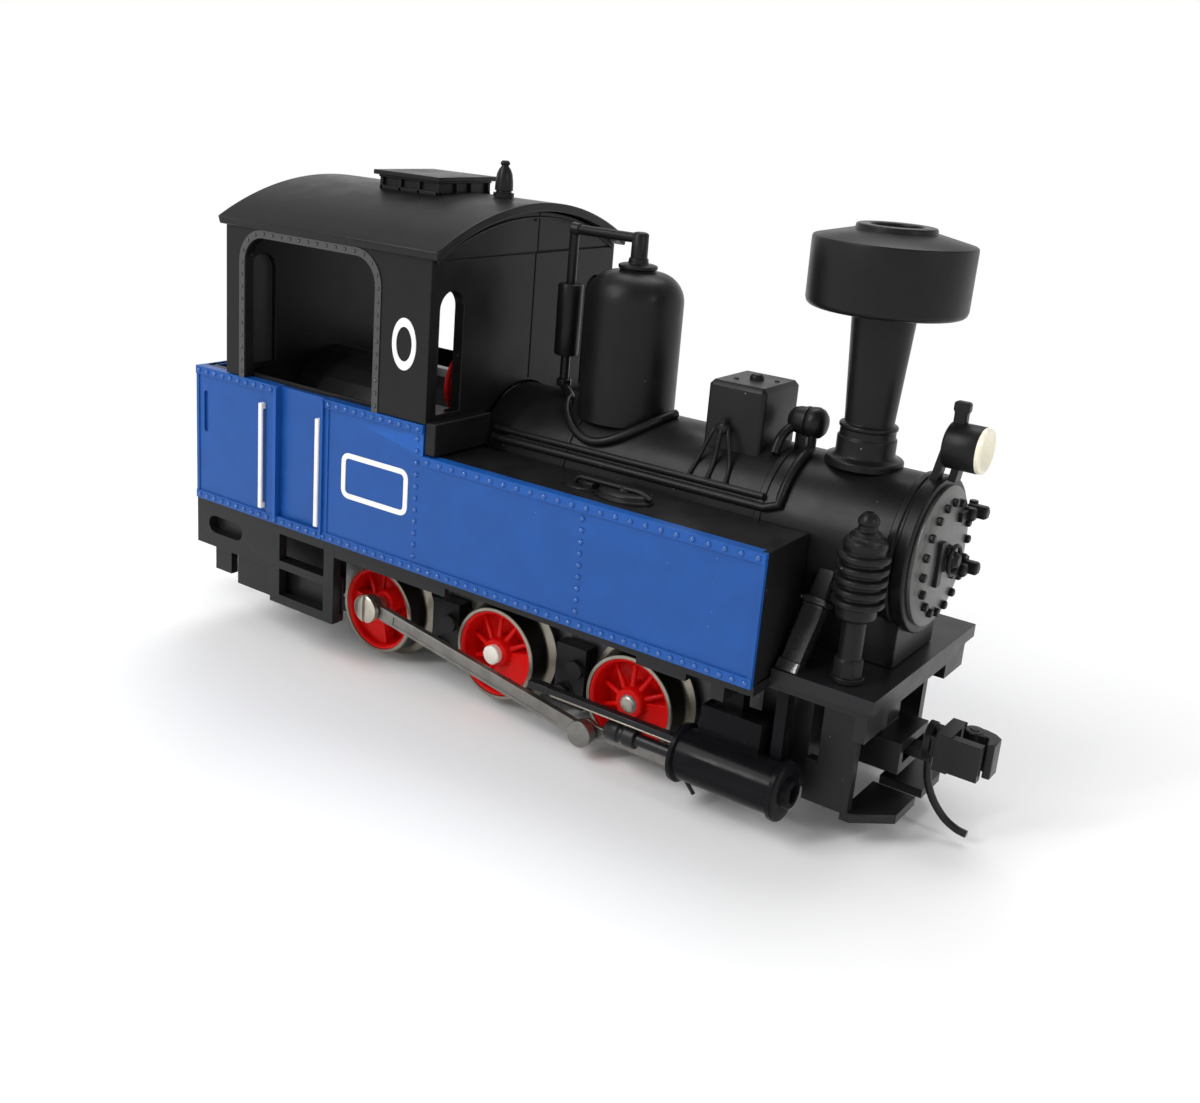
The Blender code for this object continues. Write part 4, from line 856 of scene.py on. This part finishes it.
def sand_box():
    """The sand box, one block with a chamfered top, and its knob and screw heads."""
    (rear, front), half, top = (13.2, 17.6), 2.6, 28.26
    middle = (rear + front) / 2
    levels = [(22.9, 0), (top - 0.36, 0), (top - 0.3, 0.02), (top - 0.06, 0.24), (top, 0.3)]
    casing = rounded_block((rear, front), (-half, half), 0.36, levels)
    piece("sand_box_casing", [casing], nodes=["sand_box"], bevel=None, smooth=28)
    knob = [(-0.1, 0.5), (0.18, 0.5), (0.3, 0.44), (0.4, 0.28)]
    fittings = [turned("z", (middle, 0.2), knob, 24, start=top)]
    for dx, y in ((-1.0, -0.9), (1.3, 0.7)):
        fittings.append(dome((middle + dx, y, top - 0.02), (0, 0, 1), 0.22, 0.12))
    piece("sand_box_fittings", fittings)


def smokebox_door():
    """The door with its bolt ring, hinge straps, handle bar and central dart."""
    face, z = BOILER_X[1] + 0.02, BOILER_Z
    plate = [(0, 4.72), (0.22, 4.72), (0.3, 4.6), (0.32, 4.25), (0.4, 4.1), (0.5, 3.95), (0.58, 3.3)]
    shape = turned("x", (0, z), plate + [(0.68, 2.0), (0.7, 1.0)], 72, start=face)
    # The door plate's grey is a painted reflection.
    piece("smokebox_door_plate", [shape], DOOR_PAINTED_SHEEN, bevel=None)
    shapes, bolts, bolt_r = [], 18, 3.72
    for k in range(bolts):
        a = tau * k / bolts + 0.12
        bolt = [(0.3, 0.31), (0.76, 0.31), (0.84, 0.24)]
        shapes.append(turned("x", (bolt_r * cos(a), z + bolt_r * sin(a)), bolt, 6, start=face))
    hub = [(0.5, 0.95), (0.85, 0.92), (0.95, 0.8), (0.95, 0.62), (1.25, 0.55), (1.55, 0.35)]
    shapes.append(turned("x", (0, z), hub, 32, start=face))
    shapes.append(hoop("x", (0, z), [(1.0, 1.0), (1.2, 1.12), (1.35, 1.0), (1.2, 0.85)], 40, start=face))
    shapes.append(tube([(face + 1.2, -0.9, z + 0.5), (face + 1.2, 0.9, z - 0.5)], 0.13, 10))
    shapes.append(box((face + 0.5, face + 0.95), (-1.95, -1.25), (z - 1.5, z + 1.5)))
    for hinge in (z - 1.4, z + 2.5):
        shapes.append(box((face + 0.3, face + 0.9), (1.2, 4.1), (hinge - 0.32, hinge + 0.32)))
        for y, reach in ((3.65, 1.75), (2.6, 1.3)):
            nut = [(0.4, 0.5), (reach - 0.15, 0.5), (reach, 0.38)]
            shapes.append(turned("x", (y, hinge), nut, 6, start=face))
        shapes.append(turned("z", (face + 0.55, 4.1), [(-0.55, 0.3), (0.55, 0.3)], 16, start=hinge))
    piece("smokebox_door_fittings", shapes, nodes=["smokebox_door"], bevel=0.05, smooth=32)


def headlamp():
    """The lamp with its two legs and the mushroom-shaped tab on top."""
    x, z, crown = 29.42, 26.7, BOILER_Z + BOILER_R
    casing = [(0, 0.7), (0.04, 1.3), (0.12, 1.46), (0.25, 1.52), (2.22, 1.52), (2.27, 1.5), (2.27, 1.3)]
    shapes = [
        turned("x", (0, z), casing + [(1.9, 0.4)], start=x),
        bar((x + 0.95, 0.1, z - 0.9), (x + 0.75, 0.1, crown + 0.05), 0.5, 1.1),
        bar((x + 0.15, -0.5, z - 0.3), (x - 0.32, -0.6, crown - 0.5), 0.5, 0.9),
    ]
    piece("headlamp_body", shapes, nodes=["headlamp"], bevel=0.04, smooth=40)
    tab_x, top = x + 0.62, z + 2.86
    half = [(0.42, z + 1.2), (0.42, top - 0.75), (0.52, top - 0.55), (0.52, top - 0.12), (0.4, top)]
    tab = [(tab_x + dx, height) for dx, height in half] + [(tab_x - dx, height) for dx, height in half[::-1]]
    piece("headlamp_tab", [prism("y", (-0.3, 0.3), tab)], nodes=["headlamp"], bevel=0.09)
    glass = [(2.1, 1.3), (2.28, 1.49), (2.52, 1.49), (2.6, 1.42), (2.6, 1.28), (2.25, 0.8), (2.05, 0.45)]
    shape = turned("x", (0, z), glass + [(2.0, 0.2)], start=x)
    piece("headlamp_glass", [shape], CREAM, nodes=["headlamp_lens"], bevel=None)


def air_pump():
    foot, centre = DECK_Z + 0.05, (27.75, -7.0)
    profile = [(foot, 1.1), (foot + 0.35, 1.1), (foot + 0.45, 0.8), (foot + 0.6, 0.76), (16.15, 0.76)]
    profile += [(16.3, 1.15), (16.55, 1.3), (17.0, 1.3)]
    fin = [(0, 1.34), (0.1, 1.62), (0.22, 1.69), (0.36, 1.69), (0.48, 1.62), (0.58, 1.34)]
    profile += [(17.15 + 0.74 * k + rise, radius) for k in range(5) for rise, radius in fin]
    profile += [(20.95, 1.36), (21.2, 1.42), (21.45, 1.3), (21.6, 0.95), (21.95, 0.85), (22.05, 0.62)]
    profile += [(22.4, 0.58), (22.5, 0.68), (22.75, 0.66), (23.0, 0.5), (23.2, 0.28)]
    shapes = [
        turned("z", centre, profile),
        turned("z", centre, [(21.3, 1.25), (21.75, 1.1)], 6),
        turned("z", centre, [(foot, 1.0), (13.5, 0.98), (13.7, 0.8)], 8),
        tube(eased([(27.3, -6.2, 21.6), (26.9, -5.5, 21.4), (26.4, -4.9, 20.9)], 6), 0.3, 12),
    ]
    piece("air_pump_body", shapes, nodes=["air_pump"], bevel=0.03, smooth=40)


# Wheels and motion


def crankpin(side):
    angle = radians(CRANK_DEG[side])
    return AXLE_X["rear"] + CRANK_R * cos(angle), AXLE_Z + CRANK_R * sin(angle)


def crosshead_pin(side):
    pin_x, pin_z = crankpin(side)
    return pin_x + sqrt(ROD_LENGTH**2 - (pin_z - CROSSHEAD_Z) ** 2), CROSSHEAD_Z


def wheel(place, side):
    """A metal tyre around a red centre with thin spokes and a balance weight."""
    x, s = AXLE_X[place], SIDES[side]
    centre, name, body = (x, AXLE_Z), f"wheel_{place}_{side}", "wheelset_" + place
    tyre = [(3.76, 3.0), (3.76, 4.15), (3.86, 4.36), (4.02, 4.44), (4.16, 4.4), (4.3, 4.05), (4.42, 3.86)]
    tyre += [(4.6, 3.78), (6.22, 3.72), (6.3, 3.68), (6.34, 3.62), (6.34, 3.42), (6.28, 3.38), (5.8, 3.36)]
    piece(name + "_tyre", [hoop("y", centre, tyre, 96, way=s)], NICKEL, body, [name], bevel=None, smooth=40)
    face, back, spokes = 6.26, 4.1, 10
    rim = [(back, 3.39), (face, 3.39), (face, 3.28), (face - 0.16, 3.12), (face - 1.5, 2.95), (back, 2.95)]
    hub = [(4.0, 1.3), (face - 0.5, 1.2), (face - 0.1, 1.12), (face, 1.02)]
    if place == "front":
        hub.append((face, 0.55))
    shapes = [hoop("y", centre, rim, 72, way=s), turned("y", centre, hub, 40, way=s)]
    for k in range(spokes):
        a = radians(CRANK_DEG[side] + 360 / spokes * (k + 0.5))
        ends = ((1.0, face - 0.65), (3.1, face - 1.3))
        spoke = [(x + reach * cos(a), s * along, AXLE_Z + reach * sin(a)) for reach, along in ends]
        shapes.append(tube(spoke, [0.23, 0.17], 10))
    weight_deg, half = CRANK_DEG[side] + (180 if place == "rear" else 270), 58
    sector = arc(centre, 3.1, weight_deg - half, weight_deg + half, 14)
    sector += arc(centre, 1.05, weight_deg + half, weight_deg - half, 10)
    shapes.append(prism("y", across(side, 4.6, face - 0.55), sector))
    if place == "rear":
        shapes.append(turned("y", crankpin(side), [(4.7, 0.95), (6.7, 0.95), (6.82, 0.85)], 32, way=s))
    piece(name + "_centre", shapes, RED, body, [name], bevel=0.04)
    web = turned("y", centre, [(4.0, 2.97), (4.3, 2.97)], way=s)
    piece(name + "_web", [web], RED, body, bevel=None)


def wheelset(place):
    """Both wheels and the axle's two ends, of which the middle axle's are longer and pale."""
    end, finish = (6.80, AXLE_WHITE) if place == "middle" else (6.45, POLISHED)
    radius = 0.6 if place == "front" else 0.75
    profile = [(5.5, radius), (end - 0.1, radius), (end - 0.02, radius - 0.08), (end, radius - 0.16)]
    for side, s in SIDES.items():
        wheel(place, side)
        cap = turned("y", (AXLE_X[place], AXLE_Z), profile, 40, way=s)
        piece(f"axle_end_{place}_{side}", [cap], finish, "wheelset_" + place, bevel=None)


def crankpin_screw(side):
    x, z = crankpin(side)
    profile = [(5.6, 0.45), (6.95, 0.45), (7.0, 0.6), (8.48, 0.6), (8.5, 1.02), (8.56, 1.13), (8.98, 1.14)]
    shape = turned("y", (x, z), profile + [(9.07, 1.02), (9.1, 0.7)], way=SIDES[side])
    cuts = [box((x - 0.16, x + 0.16), across(side, 8.8, 9.5), (z - 2, z + 2))]
    nodes = ["crankpin_screw_" + side]
    piece("crank_screw_" + side, [shape], POLISHED, "wheelset_rear", nodes, bevel=0.03, cuts=cuts)


def beside(side, share, offset):
    """A point beside the line from crankpin to crosshead pin."""
    rear, front = Vector(crankpin(side)), Vector(crosshead_pin(side))
    line = (front - rear).normalized()
    return tuple(rear.lerp(front, share) + Vector((-line.y, line.x)) * offset)


def main_rod(side):
    """The rod with its eye, tapered shank, sunk flute and large front rivet."""
    rear, front = crankpin(side), crosshead_pin(side)
    along = degrees(atan2(front[1] - rear[1], front[0] - rear[0]))
    outline = arc(rear, 1.0, along + 30, along + 330, 28)
    outline += [beside(side, 0.06, -0.56), beside(side, 0.94, -0.62)]
    outline += arc(front, 0.95, along - 140, along + 140, 28)
    outline += [beside(side, 0.94, 0.62), beside(side, 0.06, 0.56)]
    rivet = [(7.95, 0.95), (8.45, 0.96), (8.5, 1.0), (8.72, 1.01), (8.8, 0.95), (8.84, 0.8)]
    shapes = [prism("y", across(side, 7.92, 8.38), outline), turned("y", front, rivet, 40, way=SIDES[side])]
    eye = turned("y", rear, [(-10, 0.66), (10, 0.66)], 32)
    flute = [beside(side, *place) for place in ((0.12, -0.32), (0.9, -0.38), (0.9, 0.38), (0.12, 0.32))]
    cuts = [eye, prism("y", across(side, 8.31, 9.0), flute)]
    piece("rod_" + side, shapes, ROD_METAL, "rod_" + side, ["main_rod_" + side], bevel=0.05, cuts=cuts)


def crosshead(side):
    (x, z), half, end = crosshead_pin(side), 0.48, 23.2
    outline = arc((x, z), 0.78, 40, 320, 20)
    outline += [(x + 1.2, z - half), (end, z - half), (end, z + half), (x + 1.2, z + half)]
    strip = prism("y", across(side, 7.22, 7.58), outline)
    piece("crosshead_strip_" + side, [strip], ROD_METAL, "slide_" + side, ["crosshead_" + side], bevel=0.05)


def cylinder(side):
    """The steam cylinder with its covers, valve chest, drain cock, slide bar and gland."""
    (rear, front), z, name = CYLINDER_X, CYLINDER_Z, "cylinder_" + side
    y, below = SIDES[side] * CYLINDER_Y, z - 1.8
    back = [(0, 1.2), (0.02, 1.95), (0.08, 2.08), (0.38, 2.1), (0.48, 1.83)]
    cover = [(-0.66, 1.82), (-0.6, 2.07), (-0.3, 2.1), (-0.16, 2.03), (-0.1, 1.85), (-0.04, 1.1)]
    cover += [(0.34, 1.02), (0.43, 0.92), (0.43, 0.6), (-0.3, 0.5)]
    profile = [(rear + dx, radius) for dx, radius in back] + [(front + dx, radius) for dx, radius in cover]
    fin = [(front - 3.2, below + 0.6), (front - 0.6, below - 0.2), (front - 0.2, below + 1.0)]
    shapes = [
        turned("x", (y, z), profile, 64),
        box((rear + 1.2, rear + 5.7), across(side, 6.3, 8.3), (z, 7.6)),
        box((23.6, 24.4), across(side, 6.8, 7.8), (z, 10.3)),
        box((rear + 1.8, rear + 3.8), across(side, 6.5, 7.5), (7.4, 10.4)),
        prism("y", across(side, 8.2, 8.8), fin),
    ]
    cuts = [box((rear - 1, front + 1), across(side, 7.0, 7.8), (1.2, 2.7))]
    piece("steam_" + name, shapes, GLOSS_BLACK, nodes=[name], bevel=0.08, cuts=cuts, smooth=30)
    cock = tube([(rear + 0.1, y, below + 0.4), (rear + 1.4, y, below - 1.0)], 0.14, 10)
    piece("drain_cock_" + side, [cock], CHASSIS_BLACK, bevel=None)
    gland = [(11.2, 0.3), (11.3, 0.6), (11.5, 0.74), (12.4, 0.76), (12.5, 0.6), (12.8, 0.58), (12.9, 0.76)]
    gland += [(13.8, 0.76), (13.9, 0.46), (rear + 0.2, 0.42)]
    low, high = 4.32, 4.83
    guides = [
        turned("x", (y, z - 0.4), gland, 32),
        box((4.4, rear + 0.3), across(side, 8.28, 8.93), (low, high)),
        box((4.35, 6.2), across(side, 8.2, 8.95), (low - 0.04, high + 0.04)),
    ]
    piece("slide_bar_" + side, guides, CHASSIS_BLACK, nodes=[name], bevel=0.05)
    edge = box((6.4, rear + 0.2), across(side, 8.6, 8.95), (low - 0.06, low + 0.08))
    piece("slide_bar_edge_" + side, [edge], NICKEL, bevel=0.04)


def painted_shade_backing(side):
    """Dark plates of painted shade behind the step's lower opening and behind the valance's slot."""
    shapes = [
        box((-21.3, -14.3), across(side, 9.2, 9.4), (4.2, 7.7)),
        box((-29.4, -24.4), across(side, 9.3, 9.74), (7.6, 10.4)),
    ]
    piece("backing_plates_" + side, shapes, CHASSIS_BLACK, bevel=0.05)


# Couplers


def coupler(end, sign):
    """The knuckle coupler's shank, guard disc, head, knuckle and curved trip pin."""
    low, high = 5.25, 5.95
    pivot, knuckle = (sign * 27.6, 0), (sign * 34.0, 0.95)
    disc = [(31.25, 0.9), (31.3, 1.05), (31.75, 1.05), (31.85, 0.9)]

    def block(rear, front, y, z):
        return box(tuple(sorted((sign * rear, sign * front))), y, z)

    shapes = [
        block(27.6, 32.0, (-0.68, 0.68), (low, high)),
        turned("z", pivot, [(low, 0.93), (high, 0.93)], 32),
        turned("x", (0, 6.55), disc, 32, way=sign, squash=(1.0, 1.35)),
        block(31.7, 33.3, (-0.9, 0.9), (5.9, 7.3)),
        block(32.3, 33.3, (-1.5, 1.5), (low, 7.95)),
        block(33.1, 35.3, (-1.5, -0.8), (5.35, 7.85)),
        block(31.6, 33.0, (-0.35, 0.35), (7.2, 7.75)),
    ]
    cuts = [turned("z", knuckle, [(5, 0.86), (8.4, 0.86)], 32)]
    cuts.append(turned("z", pivot, [(4, 0.56), (8, 0.56)], 24))
    arm, nodes = "coupling_" + end, ["coupler_" + end]
    piece("coupler_head_" + end, shapes, CHASSIS_BLACK, arm, nodes, bevel=0.12, cuts=cuts)
    curve = [(31.5, 5.9), (31.55, 4.9), (31.75, 3.6), (32.3, 2.4), (33.2, 1.4), (34.1, 0.92), (34.9, 0.78)]
    pin = tube(eased([(sign * x, 0, z) for x, z in curve], 6), 0.27, 14)
    piece("trip_pin_" + end, [pin], CHASSIS_BLACK, arm, nodes, bevel=None)
    claw = [(33.9, 1.6), (34.6, 1.6), (35.3, 1.4), (35.82, 0.95), (35.82, -0.42), (35.3, -0.48), (35.15, 0.3)]
    claw = [(sign * x, y) for x, y in claw + [(34.9, 0.5), (34.2, 0.4)]]
    parts = [
        prism("z", (5.35, 7.85), claw),
        turned("z", knuckle, [(5.32, 0.68), (7.88, 0.68)], 32),
        turned("z", knuckle, [(7.8, 0.35), (7.95, 0.33)], 20),
    ]
    piece("coupler_claw_" + end, parts, CHASSIS_BLACK, "jaw_" + end, ["knuckle_" + end], bevel=0.12)


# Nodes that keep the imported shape


def dress_nodes():
    """Gives the nodes still shown their finish, clean faces and rounded edges."""
    slots = {row_["node"]: row_["material_slot"] for row_ in frame["record"]["subparts"]}
    for name, obj in frame["nodes"].items():
        if obj.hide_render:
            continue
        obj.data.materials.clear()
        obj.data.materials.append(SLOT_FINISH[slots[name]])
        turned_parts = ("axle", "gear", "worm", "motor_can", "armature", "screw")
        bevel = 0.03 if any(word in name for word in turned_parts) else 0.09
        soften(obj, bevel, join_flat=not name.startswith(PIERCED))


# Stage


def floor():
    """A pale floor that turns evenly white away from the model."""
    obj = raw_object("floor", [box((-4000, 4000), (-4000, 4000), (-2.0, -0.005))])
    finish, tree, shader, coords = new_finish("pale_floor")
    cloud = noise(tree, coords, 0.01, 3.0)
    pale = blend_colour(tree, cloud, (0.93, 0.93, 0.93, 1), (0.97, 0.97, 0.97, 1))
    feed(tree, shader, {"Base Color": pale, "Roughness": 0.9, "Specular IOR Level": 0.1})
    away = add_node(tree, "VectorMath", {0: coords}, operation="LENGTH").outputs["Value"]
    glow = add_node(tree, "Emission", {"Color": (1, 1, 1, 1), "Strength": 1.0}).outputs[0]
    share = spread(tree, away, 30.0, 110.0)
    faded = add_node(tree, "MixShader", {0: share, 1: shader.outputs[0], 2: glow}).outputs[0]
    feed(tree, tree.nodes["Material Output"], {"Surface": faded})
    obj.data.materials.append(finish)


def area_light(name, place, target, size, power, colour=(1, 1, 1)):
    light = bpy.data.lights.new(name, "AREA")
    light.shape, light.size, light.size_y = "RECTANGLE", size[0] * MM, size[1] * MM
    light.energy, light.color = power, colour
    obj = in_scene(name, light)
    obj.location = Vector(place) * MM
    obj.rotation_euler = (Vector(target) - Vector(place)).to_track_quat("-Z", "Y").to_euler()


def lighting():
    world = bpy.data.worlds.new("studio")
    world.use_nodes = True
    tree = world.node_tree
    up = add_node(tree, "SeparateXYZ", {0: add_node(tree, "TexCoord").outputs["Generated"]}).outputs["Z"]
    strength = spread(tree, up, 0.22, 0.52, 1.0, 0.40)
    feed(tree, tree.nodes["Background"], {"Strength": strength, "Color": (1, 1, 1, 1)})
    bpy.context.scene.world = world
    area_light("key", (-160, -260, 330), (0, 0, 15), (240, 160), 0.75)
    area_light("top_soft", (-60, 160, 380), (0, 0, 15), (300, 240), 0.8)
    area_light("strip", (-70, -190, 130), (5, 0, 15), (10, 60), 0.10)
    area_light("side_strip", (210, -40, 120), (10, 0, 20), (16, 60), 0.05)


def camera():
    """The camera at the photograph's viewing angle, with its centre off the image's centre."""
    azimuth, elevation, roll = (radians(a) for a in (34.87, 16.774, 4.372))
    level = cos(elevation)
    back = Vector((sin(azimuth) * level, -cos(azimuth) * level, sin(elevation)))
    right = (-back).cross(Vector((0, 0, 1))).normalized()
    up = right.cross(-back)
    turned_right = right * cos(roll) + up * sin(roll)
    turned_up = -right * sin(roll) + up * cos(roll)
    data = bpy.data.cameras.new("camera")
    data.sensor_fit, data.sensor_width, data.lens = "HORIZONTAL", 36.0, 40.097
    data.shift_x, data.shift_y = 0.02745, -0.05071
    data.clip_start, data.clip_end = 0.005, 20.0
    obj = in_scene("camera", data)
    axes = Matrix((turned_right, turned_up, back)).transposed()
    obj.matrix_world = Matrix.Translation(Vector((57.097, -81.479, 46.575)) * MM) @ axes.to_4x4()
    bpy.context.scene.camera = obj


def build():
    sided = (tank_sheet, tank_rivets, handrails, nameplate, number_ring, tank_top, cab_beads, crankpin_screw)
    sided += (main_rod, crosshead, cylinder, painted_shade_backing)
    for side in SIDES:
        for make in sided:
            make(side)
    for place in AXLE_X:
        wheelset(place)
    single = (bunker, cab_walls, rear_windows, roof, roof_ventilator, whistle, handwheel, boiler, steam_pipes)
    single += (boiler_pipes, generator, chimney, steam_dome, dome_pipe, sand_box, smokebox_door, headlamp)
    single += (air_pump,)
    for make in single:
        make()
    for end, sign in (("front", 1), ("rear", -1)):
        coupler(end, sign)
    dress_nodes()


bpy.context.scene.view_settings.view_transform = "Standard"
build()
floor()
lighting()
camera()
